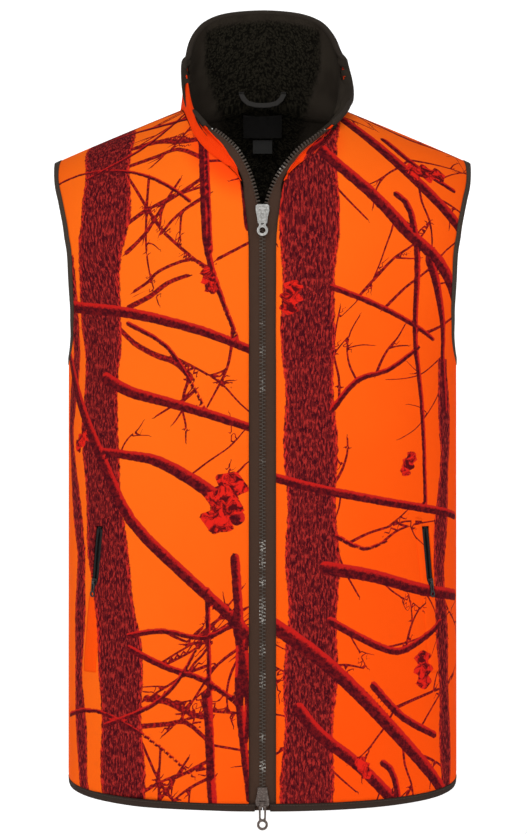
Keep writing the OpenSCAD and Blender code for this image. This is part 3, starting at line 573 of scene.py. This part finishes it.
def printed_fleece(name, painted_shade=0.0):
    made, shader = material(name)
    tree = made.node_tree
    flat = cloth_coords(tree)
    wide = grain(tree, flat, 0.012, 2)
    fine = grain(tree, flat, 0.35, 3, 0.6)
    tall = cloth_coords(tree, 1, 0.16)
    ragged = calc(tree, "MULTIPLY_ADD", grain(tree, flat, 0.16, 4, 0.65), 5.0, -2.5)
    # open ground: clear orange under painted shade, which darkens it lower down and across the cloth and
    # further towards the sides, with a slow random wander in tone as well
    across, up = put(tree, "SeparateXYZ", {0: flat}), put(tree, "SeparateXYZ", {0: flat}, out=1)
    shade_drift = calc(tree, "MULTIPLY_ADD", up, -0.45, across)
    shade_drift = calc(tree, "MULTIPLY_ADD", wide, 90, shade_drift)
    ground = tint(tree, step(tree, shade_drift, 20, 460), ORANGE, ORANGE_SHADED)
    side_shade = step(tree, calc(tree, "ABSOLUTE", across), 150, 262)
    ground = tint(tree, calc(tree, "MULTIPLY", side_shade, 0.6), ground, ORANGE_SHADED)
    # painted shade: the ground turns a deeper red close round the neck
    below_neck = put(tree, "VectorMath", {0: flat, 1: (0, 45, 0)})
    from_neck = put(tree, "VectorMath", {0: below_neck}, out=1, operation="LENGTH")
    neck_shade = calc(tree, "MULTIPLY", step(tree, from_neck, 76, 52), 0.8)
    ground = tint(tree, neck_shade, ground, (0.80, 0.036, 0.003))
    # painted shade laid over the whole piece, by the share given when the material is made
    ground = tint(tree, painted_shade, ground, (0.80, 0.030, 0.003))
    # twigs, over the ground and under the trunks
    twig_in = calc(tree, "ABSOLUTE", field(tree, "twig"))
    twig_edge = step(tree, calc(tree, "MULTIPLY_ADD", ragged, 0.10, twig_in), 1.15, 0.85)
    twig_on = calc(tree, "MULTIPLY", twig_edge, step(tree, field(tree, "twig_gap"), 3.4, 2.4))
    twig_ink = tint(tree, step(tree, fine, 0.45, 0.62), (0.10, 0.005, 0.007), (0.33, 0.010, 0.008))
    colour = tint(tree, twig_on, ground, twig_ink)
    # trunks: maroon with stretched plates of bark, red flecks and a broken edge
    edge = calc(tree, "ADD", field(tree, "trunk"), ragged)
    plates = put(tree, "TexVoronoi", {"Vector": tall, "Scale": 0.28, "Randomness": 1.0},
                 feature="DISTANCE_TO_EDGE")
    split = calc(tree, "MULTIPLY_ADD", grain(tree, flat, 0.5, 2), 0.16, plates)
    split = step(tree, split, 0.14, 0.21)
    streak = grain(tree, cloth_coords(tree, 1, 0.3), 0.55, 4, 0.7)
    bark = tint(tree, split, MAROON, BARK)
    bark = tint(tree, calc(tree, "MULTIPLY", step(tree, streak, 0.49, 0.60), 0.85), bark, FLECK)
    bark = tint(tree, step(tree, streak, 0.42, 0.30), bark, (0.022, 0.002, 0.004))
    rim = calc(tree, "MULTIPLY", step(tree, edge, -5.5, -0.5), step(tree, streak, 0.42, 0.6))
    bark = tint(tree, rim, bark, (0.55, 0.020, 0.012))
    colour = tint(tree, step(tree, edge, 0.7, -0.7), colour, bark)
    # limbs: dark below and lit red along the upper edge
    limb_edge = calc(tree, "MULTIPLY_ADD", ragged, 0.42, field(tree, "limb"))
    lit = calc(tree, "MULTIPLY_ADD", fine, 1.1, calc(tree, "SUBTRACT", field(tree, "limb_side"), 0.55))
    limb = tint(tree, step(tree, grain(tree, flat, 0.22, 4, 0.7), 0.42, 0.6), MAROON, (0.13, 0.006, 0.008))
    limb = tint(tree, calc(tree, "MULTIPLY", step(tree, lit, 0.10, 0.65), 0.85), limb, RED)
    colour = tint(tree, step(tree, limb_edge, 0.45, -0.45), colour, limb)
    # leaves: dead and curled, red with dark folds
    leaf_edge = calc(tree, "MULTIPLY_ADD", ragged, 0.8, field(tree, "leaf"))
    leaf_folds = step(tree, grain(tree, flat, 0.12, 4, 0.7, 0.8), 0.42, 0.58)
    leaf = tint(tree, leaf_folds, (0.62, 0.014, 0.008), (0.075, 0.004, 0.006))
    colour = tint(tree, step(tree, leaf_edge, 0.5, -0.5), colour, leaf)
    tree.links.new(colour, shader.inputs["Base Color"])
    shader.inputs["Roughness"].default_value = 0.9
    shader.inputs["Specular IOR Level"].default_value = 0.02
    knit = put(tree, "TexWave", {"Vector": cloth_coords(tree), "Scale": 0.42, "Distortion": 1.4,
                                 "Detail": 2.0}, out=1, wave_type="BANDS")
    nap = calc(tree, "ADD", knit, calc(tree, "MULTIPLY", grain(tree, flat, 1.1, 3, 0.7), 1.6))
    tree.links.new(knit_bump(tree, nap), shader.inputs["Normal"])
    return made


FLEECE = printed_fleece("camo_fleece")
SHELL_T = 1.6


def printed_panel(name, spots, side, cad_node, hole=None, turned=1):
    outer = settle(skin(spots, 0, side))
    inner = settle(skin(spots, SHELL_T, side))
    cloth = on_cloth(spots)
    cloth[..., 0] *= turned
    if turned < 0:
        outer[..., 0] *= -1
        inner[..., 0] *= -1
    if side > 0:
        cloth = np.stack([-cloth[..., 0], cloth[..., 1] + 26], -1)
    if turned < 0:
        outer, inner, cloth = outer[:, ::-1], inner[:, ::-1], cloth[:, ::-1]
        if hole:
            n = outer.shape[1] - 1
            hole = (hole[0], slice(n - hole[1].stop, n - hole[1].start))
    panel, used = slab(name, outer, inner, cloth, hole)
    carry(panel, used, print_fields(cloth))
    panel.data.materials.append(FLEECE)
    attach(panel, "vest")
    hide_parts(cad_node)
    return panel


FRONT_SPOTS, FRONT_HEIGHTS = front_spots()
SLOT_ROWS = slice(int(np.argmin(np.abs(FRONT_HEIGHTS - POCKET_END[1]))),
                  int(np.argmin(np.abs(FRONT_HEIGHTS[:150] - POCKET_TOP[1]))))
SLOT = (SLOT_ROWS, slice(FRONT_COLUMNS[0], FRONT_COLUMNS[0] + FRONT_COLUMNS[1]))
BACK_SPOTS = back_spots()
left_front = printed_panel("left_front", FRONT_SPOTS, -1, "left_front_shell", SLOT)
right_front = printed_panel("right_front", FRONT_SPOTS, -1, "right_front_shell", SLOT, turned=-1)
back = printed_panel("back", BACK_SPOTS, 1, "back_shell")


# --- Lining -------------------------------------------------------------------------------
# Charcoal pebbled pile, bonded inside every panel and set in a little where the pockets hang.
# Beside the front edges and inside the collar's wings a smooth facing is sewn over it.
LINING_IN, LINING_T = 3.9, 1.3


def facing_share(points):
    """1 on the smooth facing, 0 on the pile."""
    edge = 44.5 + 0.32 * np.clip(points[..., 2], -40, 48)
    return ease((np.abs(points[..., 0]) - edge) / 4 + 0.5)


def pile_fleece(name):
    made, shader = material(name)
    tree = made.node_tree
    flat = cloth_coords(tree)
    smooth = field(tree, "facing")
    bent = put(tree, "TexNoise", {"Vector": flat, "Scale": 0.16, "Detail": 2.0}, out=1)
    curls = put(tree, "VectorMath", {0: bent, 1: (4.5, 4.5, 0)}, operation="MULTIPLY")
    curls = put(tree, "VectorMath", {0: flat, 1: curls}, operation="ADD")
    pebble = put(tree, "TexVoronoi", {"Vector": curls, "Scale": 0.42, "Smoothness": 0.35},
                 feature="SMOOTH_F1")
    fuzz = grain(tree, flat, 1.3, 3, 0.7)
    wide = grain(tree, flat, 0.03, 2)
    # painted shade: the gaps between the pebbles of the pile are painted far darker than their tops
    pile = tint(tree, step(tree, pebble, 0.25, 0.75), (0.0150, 0.0128, 0.0085), (0.0032, 0.0027, 0.0018))
    plain = tint(tree, step(tree, wide, 0.35, 0.65), (0.0165, 0.0125, 0.0092), (0.0225, 0.0175, 0.0130))
    nap = calc(tree, "MULTIPLY", step(tree, fuzz, 0.4, 0.7), 0.3)
    plain = tint(tree, nap, plain, (0.035, 0.029, 0.022))
    tree.links.new(tint(tree, smooth, pile, plain), shader.inputs["Base Color"])
    shader.inputs["Roughness"].default_value = 0.95
    shader.inputs["Specular IOR Level"].default_value = 0.03
    high = calc(tree, "MULTIPLY", pebble, calc(tree, "SUBTRACT", smooth, 1.0))
    high = calc(tree, "MULTIPLY_ADD", fuzz, 0.16, high)
    tree.links.new(knit_bump(tree, high, 0.0024, 0.9), shader.inputs["Normal"])
    return made


PILE = pile_fleece("pile_lining")


def thin(grid, step_by=3):
    rows, columns = [sorted(set(range(0, n, step_by)) | {n - 1}) for n in grid.shape[:2]]
    return grid[np.ix_(rows, columns)]


def lining(name, spots, side, node, turned=1):
    spots = thin(spots)
    outer, inner = [settle(skin(spots, LINING_IN + t, side)) for t in (0, LINING_T)]
    cloth = on_cloth(spots)
    if turned < 0:
        outer, inner = [(g * [-1, 1, 1])[:, ::-1] for g in (outer, inner)]
        cloth = cloth[:, ::-1]
    made, used = slab(name, outer, inner, cloth)
    carry(made, used, {"facing": facing_share(outer)})
    made.data.materials.append(PILE)
    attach(made, "vest")
    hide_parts(node)


lining("left_lining", FRONT_SPOTS, -1, "left_front_lining")
lining("right_lining", FRONT_SPOTS, -1, "right_front_lining", turned=-1)
lining("back_lining_pile", BACK_SPOTS, 1, "back_lining")

# --- Collar -------------------------------------------------------------------------------
# A stand collar of the same two cloths, sewn round the neck and standing open: printed fleece
# outside, and inside it the pile, which rolls over the top as a soft rim and runs down over the
# neck seam as a tape. The wearer's left wing stands a little wider than the right one.
COLLAR_LEFT = [(21, -118.8, -84), (27, -115.5, -71.5), (36.5, -112, -58.5), (47, -107.5, -48),
               (57, -101, -38.5), (65, -95, -31)]
COLLAR_RIGHT = [(21, -118.8, -84), (24.5, -115.8, -72), (31.5, -112.5, -60.5), (37.2, -108, -51),
                (46, -101, -40.5), (54, -94, -31)]
COLLAR_TOP = [(65, -95, -31), (73, -83, -22), (81, -63, -8), (85, -38, 6), (85, -14, 24), (81.5, 0, 42),
              (77, 15, 64), (71, 31, 81.5), (59, 48, 97), (36, 60, 107), (0, 66, 110.5), (-36, 60, 107),
              (-58, 48, 97), (-69.5, 33, 82.5), (-75, 17, 66), (-76.5, 0, 48), (-75, -24, 20),
              (-70.5, -50, -3), (-62.5, -76, -20), (-54, -94, -31)]
COLLAR_ROWS = 32


def lengths(line):
    return np.concatenate([[0], np.cumsum(np.linalg.norm(np.diff(line, axis=0), axis=1))])


def shares(line):
    return lengths(line) / lengths(line)[-1]


def spread(line, share):
    return np.stack([np.interp(share, shares(line), line[:, k]) for k in range(3)], -1)


def sunk(grid, depth):
    normal = np.cross(np.gradient(grid, axis=1), np.gradient(grid, axis=0))
    return grid - depth * normal / np.linalg.norm(normal, axis=-1, keepdims=True)


def neck_seam(width=0.7, off=0.0):
    """A line beside the neck seam, width inside the neck, from the left zip edge round to the right."""
    line = front_edge()[32:]
    front = skin(inset(line, width, -1, line[1] - line[0], (0, 1)), off, -1)
    back = skin(inset(back_neck(40), -width, 1, (0, -1), (0, 1)), off, 1)
    return np.concatenate([front, back[1:-1], front[::-1] * [-1, 1, 1]])


def collar_grid():
    seam = neck_seam()
    top = spread(curve(COLLAR_TOP, 400), shares(seam))
    left, right = curve(COLLAR_LEFT, COLLAR_ROWS), curve(COLLAR_RIGHT, COLLAR_ROWS) * [-1, 1, 1]
    left[0], right[0] = seam[0], seam[-1]
    up, round_ = np.linspace(0, 1, COLLAR_ROWS + 1), np.linspace(0, 1, len(seam))
    flat = woven(left, right, seam, top, up)
    swell = np.sin(np.pi * up)[:, None, None] * np.sin(np.pi * round_)[None, :, None]
    return flat + (sunk(flat, -1.5) - flat) * swell


COLLAR = collar_grid()
along = np.tile(lengths(COLLAR[0]) - lengths(COLLAR[0])[-1] / 2, (COLLAR_ROWS + 1, 1))
risen = np.cumsum(np.linalg.norm(np.diff(COLLAR, axis=0), axis=2), axis=0)
above = np.concatenate([np.zeros((1, COLLAR.shape[1])), risen])
low = slice(0, COLLAR_ROWS)   # the rim closes over the top row
collar, used = slab("collar", COLLAR[low], sunk(COLLAR, SHELL_T)[low], np.stack([along, above], -1)[low])
collar_print = np.stack([along * 1.1 + 84, above - 210], -1)   # where the collar was cut from the print
carry(collar, used, print_fields(collar_print[low]))
# the collar's print carries painted shade: it is tinted a deeper red all over
collar.data.materials.append(printed_fleece("camo_collar", painted_shade=0.75))
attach(collar, "vest")
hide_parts("collar_shell")

SEAM_LAP = (-9, -5, -1.5)   # rows of the lining that run down over the neck seam
lap_out, lap_in = [[neck_seam(w, depth) for w in SEAM_LAP] for depth in (5.3, 5.9)]
lining_out = np.concatenate([lap_out, sunk(COLLAR, 2)[1:-1]])[:, 3:-3]
lining_in = np.concatenate([lap_in, sunk(COLLAR, 4.6)[1:-1]])[:, 3:-3]
pile_above = np.concatenate([np.tile([[-9], [-5]], (1, COLLAR.shape[1])), above[:-1]])
cloth = np.stack([np.tile(along[0], (len(lining_out), 1)), pile_above], -1)[:, 3:-3]
collar_pile, used = slab("collar_pile", lining_out, lining_in, cloth)
band = ease((np.linspace(0, 1, len(lining_out)) - 0.86) / 0.06)[:, None] * 0.8
carry(collar_pile, used, {"facing": np.maximum(facing_share(lining_out), band)})
collar_pile.data.materials.append(PILE)
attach(collar_pile, "vest")
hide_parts("collar_lining")


def face_outwards(mesh):
    body = bmesh.new()
    body.from_mesh(mesh)
    bmesh.ops.recalc_face_normals(body, faces=body.faces)
    body.to_mesh(mesh)
    body.free()


def swept(name, sections, closed=False, across=None):
    """A bar through cross-sections, (stations, points, 3), with its cloth map along and round."""
    n, k = sections.shape[:2]
    last = n if closed else n - 1
    i, j = np.meshgrid(np.arange(last), np.arange(k), indexing="ij")
    i1, j1 = (i + 1) % n, (j + 1) % k
    faces = np.stack([i * k + j, i1 * k + j, i1 * k + j1, i * k + j1], -1).reshape(-1, 4).tolist()
    if not closed:
        faces += [list(range(k)), list(range(n * k - 1, (n - 1) * k - 1, -1))]
    mesh = bpy.data.meshes.new(name)
    mesh.from_pydata((sections.reshape(-1, 3) * MM).tolist(), [], faces)
    run = lengths(sections.mean(axis=1))
    across = np.arange(k) if across is None else np.asarray(across)
    layer = mesh.uv_layers.new(name="cloth")
    index = np.zeros(len(mesh.loops), int)
    mesh.loops.foreach_get("vertex_index", index)
    layer.data.foreach_set("uv", (np.stack([run[index // k], across[index % k]], -1) * MM).reshape(-1))
    mesh.shade_smooth()
    face_outwards(mesh)
    made = bpy.data.objects.new(name, mesh)
    scene.collection.objects.link(made)
    return made


def round_bar(path, radius, sides=12):
    """Cross-sections of a round bar along a path, drawn in to a soft end at both ends."""
    heading = np.gradient(path, axis=0)
    heading /= np.linalg.norm(heading, axis=1, keepdims=True)
    a = np.cross(heading, (0.3, 0.2, 0.93))
    a /= np.linalg.norm(a, axis=1, keepdims=True)
    b = np.cross(heading, a)
    t = lengths(path)
    size = radius * np.sqrt(np.clip(np.minimum(t, t[-1] - t) / radius, 0.04, 1))[:, None, None]
    turn = np.linspace(0, 2 * np.pi, sides, endpoint=False)[None, :, None]
    return path[:, None] + size * (np.cos(turn) * a[:, None] + np.sin(turn) * b[:, None])


def knit_tape(name, colour, thread, row=None):
    """Knit or woven tape; row is how far from its edge the stitches run."""
    made, shader = material(name)
    tree = made.node_tree
    flat = cloth_coords(tree)
    ribs = put(tree, "TexWave", {"Vector": flat, "Scale": 0.5, "Distortion": 0.6, "Detail": 1.0}, out=1)
    fuzz = grain(tree, flat, 1.6, 3, 0.7)
    base = tint(tree, fuzz, [c * 0.72 for c in colour], [c * 1.3 for c in colour])
    high = calc(tree, "MULTIPLY_ADD", fuzz, 0.7, ribs)
    if row:
        place = put(tree, "SeparateXYZ", {0: flat})
        across = put(tree, "SeparateXYZ", {0: flat}, out=1)
        off = calc(tree, "ABSOLUTE", calc(tree, "SUBTRACT", across, row))
        dash = calc(tree, "PINGPONG", place, 1.5)
        stitch = calc(tree, "MULTIPLY", step(tree, off, 0.42, 0.26), step(tree, dash, 0.25, 0.45))
        base = tint(tree, stitch, base, thread)
        high = calc(tree, "MULTIPLY_ADD", stitch, 1.6, high)
        high = calc(tree, "MULTIPLY_ADD", step(tree, off, 0.5, 1.1), 2.0, high)
    tree.links.new(base, shader.inputs["Base Color"])
    shader.inputs["Roughness"].default_value = 0.86
    shader.inputs["Specular IOR Level"].default_value = 0.06
    tree.links.new(knit_bump(tree, high, 0.00035, 0.8), shader.inputs["Normal"])
    return made


rim_line = sunk(COLLAR, 2.2)[-2]
rim_line = spread(rim_line, np.linspace(0.012, 0.988, 160))
rim = swept("collar_rim", round_bar(rim_line, 3.0))
rim.data.materials.append(knit_tape("rim_fleece", (0.029, 0.0225, 0.0175), (0.03, 0.02, 0.02)))
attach(rim, "vest")

# --- Bindings -----------------------------------------------------------------------------
# Dark brown knit tape, 15 mm wide, folded in half over the raw edges of shell and lining and
# stitched down in one row. Those round the armholes are closed loops; the one along the hem
# runs from one side of the zip round the back to the other.
FOLD = [(7.5, 0.1), (7.3, -0.4), (6.6, -0.6), (2.2, -0.6), (0.8, -0.25), (0.1, 0.9), (0, 2.6), (0.1, 4.3),
        (0.8, 5.45), (2.2, 5.8), (6.6, 5.8), (7.3, 5.65), (7.5, 5.1)]
FOLD_ACROSS = [w if off < 3 else 15 - w for w, off in FOLD]
ARM_BINDING = knit_tape("armhole_binding", (0.049, 0.036, 0.027), (0.075, 0.058, 0.045), row=5.9)
# the hem's tape is the armholes' tape in a darker colour: painted shade along the hem
HEM_BINDING_SHADED = knit_tape("hem_binding_shaded", (0.034, 0.022, 0.017), (0.055, 0.040, 0.032), row=5.9)


def armhole_loop(name, node, turned):
    sections = []
    for w, off in FOLD:
        front = skin(armhole_seam(-1, w) if w else armhole(-1), off, -1)
        rear = skin(armhole_seam(1, w) if w else armhole(1), off, 1)
        sections.append(settle(np.concatenate([front, rear[::-1]])))
    made = swept(name, np.stack(sections, 1) * [turned, 1, 1], closed=True, across=FOLD_ACROSS)
    made.data.materials.append(ARM_BINDING)
    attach(made, "vest")
    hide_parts(node)


armhole_loop("left_armhole_tape", "left_armhole_binding", 1)
armhole_loop("right_armhole_tape", "right_armhole_binding", -1)

HEM_END = 6.8
sections = []
for w, off in FOLD:
    pull_in = 1.2 if w == 0 else 0.5 if w < 1 else 0   # the tape's corners by the zip are rounded off
    front = np.linspace(float(angle_at(HEM_END + pull_in, HEM_FRONT)), np.pi / 2, 120)
    rear = np.linspace(np.pi / 2, 0, 120)
    half = np.concatenate([skin(np.stack([front, hem_height(-1, front) + w], -1), off, -1),
                           skin(np.stack([rear, hem_height(1, rear) + w], -1), off, 1)])
    sections.append(settle(np.concatenate([half, half[-2::-1] * [-1, 1, 1]])))
hem = swept("hem_tape", np.stack(sections, 1), across=FOLD_ACROSS)
hem.data.materials.append(HEM_BINDING_SHADED)
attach(hem, "vest")
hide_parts("hem_binding")

# --- Front zip ----------------------------------------------------------------------------
# Moulded-tooth two-way zip on dark olive brown tapes, 16 mm of each showing between the fleece
# edges. Its tapes run up the collar's front edges to a stop near the top, and down past the hem.
CHAIN_Y, CHAIN_TOP, CHAIN_BOTTOM = -119.2, -124.0, -669.0
TAPE_END = -679.0
LEFT_TEETH = [(3, CHAIN_Y, CHAIN_TOP), (5.4, CHAIN_Y, -106), (10.2, CHAIN_Y, -91), (17, -117.9, -77),
              (32.4, -114.4, -57), (46.8, -108.5, -44.6), (61.5, -100, -32.8)]
RIGHT_TEETH = [(3, CHAIN_Y, CHAIN_TOP), (5.4, CHAIN_Y, -106), (11.8, -118, -81), (22.5, -114, -58),
               (35, -106.5, -43.5), (50.2, -96, -31.5)]
TOOTH_PITCH = 3.4


def hidden_edge(collar_edge):
    hidden = [(20, CHAIN_Y, CHAIN_TOP), (20, CHAIN_Y + 0.6, -100), (19.6, -116.2, -86)]
    return curve(hidden + collar_edge[1:], 300)


def unit(v):
    return v / np.linalg.norm(v, axis=-1, keepdims=True)


def zip_lines(teeth_line, collar_edge):
    root = curve(teeth_line, 140)
    outer = spread(hidden_edge(collar_edge), shares(root))
    low = np.linspace(TAPE_END, CHAIN_TOP, 60)[:-1, None]
    straight = np.ones_like(low)
    root = np.concatenate([np.concatenate([straight * 3, straight * CHAIN_Y, low], 1), root])
    outer = np.concatenate([np.concatenate([straight * 20, straight * CHAIN_Y, low], 1), outer])
    return root, outer


ZIP_TAPE = knit_tape("zip_tape_weave", (0.056, 0.0305, 0.0205), (0.07, 0.055, 0.04))


def zip_tape(name, node, teeth_line, collar_edge, turned):
    root, outer = zip_lines(teeth_line, collar_edge)
    side = unit(outer - root)
    through = unit(np.cross(side, np.gradient(root, axis=0))) * 0.4
    gap = 1.4 * ease((root[:, 2] - CHAIN_TOP) / 30)[:, None]
    seat = 2.7 - 1.6 * ease((root[:, 2] - CHAIN_TOP + 4) / 8)[:, None]   # how far the teeth grip its edge
    near, far = root - side * seat, outer - side * gap
    u = np.linspace(0, 1, 6)[None, :, None]
    middle = near[:, None] * (1 - u) + far[:, None] * u
    across = np.linalg.norm(middle - root[:, None], axis=2)
    cloth = np.stack([np.tile(lengths(root)[:, None], (1, 6)), across], -1)
    front, rear = middle + through[:, None], middle - through[:, None]
    flip = np.array([turned, 1, 1])
    made, _ = slab(name, (front * flip)[:, ::turned], (rear * flip)[:, ::turned], cloth[:, ::turned])
    made.data.materials.append(ZIP_TAPE)
    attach(made, "vest")
    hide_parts(node)


zip_tape("left_tape", "left_zip_tape", LEFT_TEETH, COLLAR_LEFT, 1)
zip_tape("right_tape", "right_zip_tape", RIGHT_TEETH, COLLAR_RIGHT, -1)


def object_place(tree, x=1.0, y=1.0, z=1.0):
    place = put(tree, "TexCoord", {}, out=3)
    return put(tree, "VectorMath", {0: place, 1: (1000 * x, 1000 * y, 1000 * z)}, operation="MULTIPLY")


def teeth_plastic():
    made, shader = material("teeth_plastic")
    tree = made.node_tree
    # Painted glints: in long patches up the chain (worn) and in small dots within them, the dark teeth are
    # painted light grey, standing in for highlights on the glossy plastic; these are not wear.
    worn = grain(tree, object_place(tree, 0.2, 0.2, 1), 0.030, 2, 0.5)
    glint_dots = grain(tree, object_place(tree), 0.9, 2, 0.5)
    share = calc(tree, "MULTIPLY", step(tree, worn, 0.54, 0.64), step(tree, glint_dots, 0.45, 0.62))
    colour = tint(tree, share, (0.040, 0.028, 0.020), (0.34, 0.32, 0.29))
    tree.links.new(colour, shader.inputs["Base Color"])
    shader.inputs["Roughness"].default_value = 0.5
    shader.inputs["Specular IOR Level"].default_value = 0.25
    tree.links.new(put(tree, "Bevel", {"Radius": 0.0002}, samples=4), shader.inputs["Normal"])
    return made


TEETH = teeth_plastic()
TOOTH = [(0, 1.1, 0.84), (-1.9, 1.1, 0.8), (-2.3, 1.25, 0.84), (-3.4, 1.25, 0.84), (-3.8, 0.95, 0.6)]


def zip_teeth(name, node, teeth_line, collar_edge, turned, phase):
    root = np.concatenate([[(3, CHAIN_Y, CHAIN_BOTTOM)], curve(teeth_line, 48)])
    outer = hidden_edge(collar_edge)
    total = lengths(root)[-1]
    straight = CHAIN_TOP - CHAIN_BOTTOM
    at = phase + TOOTH_PITCH * np.arange(int((total - phase - 3) / TOOTH_PITCH) + 1)
    place = spread(root, at / total)
    up = unit(spread(root, (at + 0.5) / total) - spread(root, (at - 0.5) / total))
    side = spread(outer, np.clip((at - straight) / (total - straight), 0, 1)) - place
    side[at < straight] = (1, 0, 0)
    through = unit(np.cross(side, up))
    across = np.cross(up, through)
    ring = [(1, -0.6), (1, 0.6), (0.7, 1), (-0.7, 1), (-1, 0.6), (-1, -0.6), (-0.7, -1), (0.7, -1)]
    local = np.array([[(x, y * a, z * b) for a, b in ring] for x, y, z in TOOTH]).reshape(-1, 3)
    points = (place[:, None] + local[None, :, :1] * across[:, None] + local[None, :, 1:2] * through[:, None]
              + local[None, :, 2:] * up[:, None]) * [turned, 1, 1]
    faces = [[i * 8 + j, (i + 1) * 8 + j, (i + 1) * 8 + (j + 1) % 8, i * 8 + (j + 1) % 8]
             for i in range(len(TOOTH) - 1) for j in range(8)] + [list(range(8)), list(range(39, 31, -1))]
    mesh = bpy.data.meshes.new(name)
    mesh.from_pydata((points.reshape(-1, 3) * MM).tolist(), [],
                     [[v + 40 * t for v in f] for t in range(len(at)) for f in faces])
    face_outwards(mesh)
    made = bpy.data.objects.new(name, mesh)
    scene.collection.objects.link(made)
    made.data.materials.append(TEETH)
    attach(made, "vest")
    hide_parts(node)


zip_teeth("left_teeth", "left_zip_teeth", LEFT_TEETH, COLLAR_LEFT, 1, 0)
zip_teeth("right_teeth", "right_zip_teeth", RIGHT_TEETH, COLLAR_RIGHT, -1, TOOTH_PITCH / 2)

# --- Sliders, pulls and stops -------------------------------------------------------------
# Die-cast zinc. The upper slider and its pull are satin nickel; the lower one, upside down at
# the hem, is enamelled dark brown; those of the pockets are smaller and black.


def dress(names, look):
    for name in names:
        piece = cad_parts[name]
        piece.data.materials.clear()
        piece.data.materials.append(look)
        piece.data.shade_smooth()
        piece.data.set_sharp_from_angle(angle=math.radians(34))


def cast_metal(name, colour, metallic, rough, worn):
    made, shader = material(name)
    tree = made.node_tree
    place = object_place(tree)
    patch = grain(tree, place, 0.5, 3, 0.6)
    tree.links.new(tint(tree, step(tree, patch, 0.45, 0.7), colour, worn), shader.inputs["Base Color"])
    tree.links.new(calc(tree, "MULTIPLY_ADD", patch, 0.2, rough - 0.1), shader.inputs["Roughness"])
    shader.inputs["Metallic"].default_value = metallic
    round_edge = put(tree, "Bevel", {"Radius": 0.0004}, samples=6)
    bump = put(tree, "Bump", {"Strength": 0.25, "Distance": 0.0001, "Height": grain(tree, place, 2.5, 2),
                              "Normal": round_edge})
    tree.links.new(bump, shader.inputs["Normal"])
    return made


NICKEL = cast_metal("nickel", (0.40, 0.39, 0.37), 1.0, 0.34, (0.58, 0.57, 0.55))
BROWN = cast_metal("brown_enamel", (0.070, 0.052, 0.044), 0.7, 0.38, (0.16, 0.13, 0.115))
BLACK = cast_metal("black_enamel", (0.012, 0.011, 0.011), 0.4, 0.36, (0.04, 0.038, 0.036))
dress(["top_slider", "top_slider_pull", "left_top_stop", "right_top_stop"], NICKEL)
dress(["bottom_slider", "bottom_slider_pull"], BROWN)
# the bottom pins take the teeth's material, painted glints included
dress(["left_bottom_pin", "right_bottom_pin"], TEETH)

# --- Hand pockets -------------------------------------------------------------------------
# A slot in each front with a narrow welt of the printed fleece stitched along its front edge.
# A black coil zip lies in the slot, half open, with the black tricot bag hanging behind it.


def plain_cloth(name, colour, weave, rough=0.8):
    made, shader = material(name)
    tree = made.node_tree
    place = object_place(tree)
    fine = grain(tree, place, weave, 3, 0.6)
    base = tint(tree, fine, [c * 0.7 for c in colour], [c * 1.35 for c in colour])
    tree.links.new(base, shader.inputs["Base Color"])
    shader.inputs["Roughness"].default_value = rough
    shader.inputs["Specular IOR Level"].default_value = 0.15
    tree.links.new(knit_bump(tree, fine, 0.0003, 0.6), shader.inputs["Normal"])
    return made


WELT_WIDTH = np.radians(3.2)


def welt(name, node, turned):
    z = np.linspace(-553, -404, 50)
    edge = slot_angle(z) - SLOT_HALF
    u = np.linspace(0, 1, 9)
    lap = SLOT_HALF * 2.15 * ease((-462 - z) / 22)
    angles = (edge + lap)[:, None] - (WELT_WIDTH + lap)[:, None] * (1 - u)
    spots = np.stack([angles, np.tile((z - DOME_Z)[:, None], (1, 9))], -1)
    lift = 0.75 * np.sin(np.pi * np.clip(u, 0.02, 0.98)) ** 0.4
    outer = settle(np.stack([skin(spots[:, i], -0.1 - lift[i]) for i in range(9)], 1))
    inner = settle(skin(spots, 0.15))
    cloth = on_cloth(spots)
    flip = np.array([turned, 1, 1])
    made, used = slab(name, (outer * flip)[:, ::turned], (inner * flip)[:, ::turned], cloth[:, ::turned])
    carry(made, used, print_fields(cloth[:, ::turned] * [turned, 1]))
    made.data.materials.append(FLEECE)
    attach(made, "vest")
    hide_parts(node)


welt("left_welt", "left_pocket_welt", 1)
welt("right_welt", "right_pocket_welt", -1)
POCKET_BLACK = plain_cloth("pocket_zip_black", (0.010, 0.009, 0.009), 1.2)
for hand in ("left", "right"):
    dress([f"{hand}_pocket_{part}" for part in ("zip_tape", "coil", "stops")], POCKET_BLACK)
    dress([f"{hand}_pocket_{part}" for part in ("slider", "pull")], BLACK)
    tricot = plain_cloth(hand + "_tricot", (0.008, 0.007, 0.007), 0.9)
    dress([f"{hand}_pocket_bag"], tricot)

# --- Hang loop and labels -----------------------------------------------------------------
# A U of charcoal twill tape on two short tabs at the back of the neck. Under it a black woven
# label is sewn flat to the lining, with a small size tab hanging below; both are left plain.
dress(["hang_loop", "loop_anchors"], plain_cloth("twill_tape", (0.024, 0.022, 0.020), 0.8))
dress(["main_label"], plain_cloth("woven_label", (0.0085, 0.0075, 0.007), 1.5, 0.6))
dress(["size_label"], plain_cloth("size_tab", (0.022, 0.021, 0.020), 1.5, 0.7))
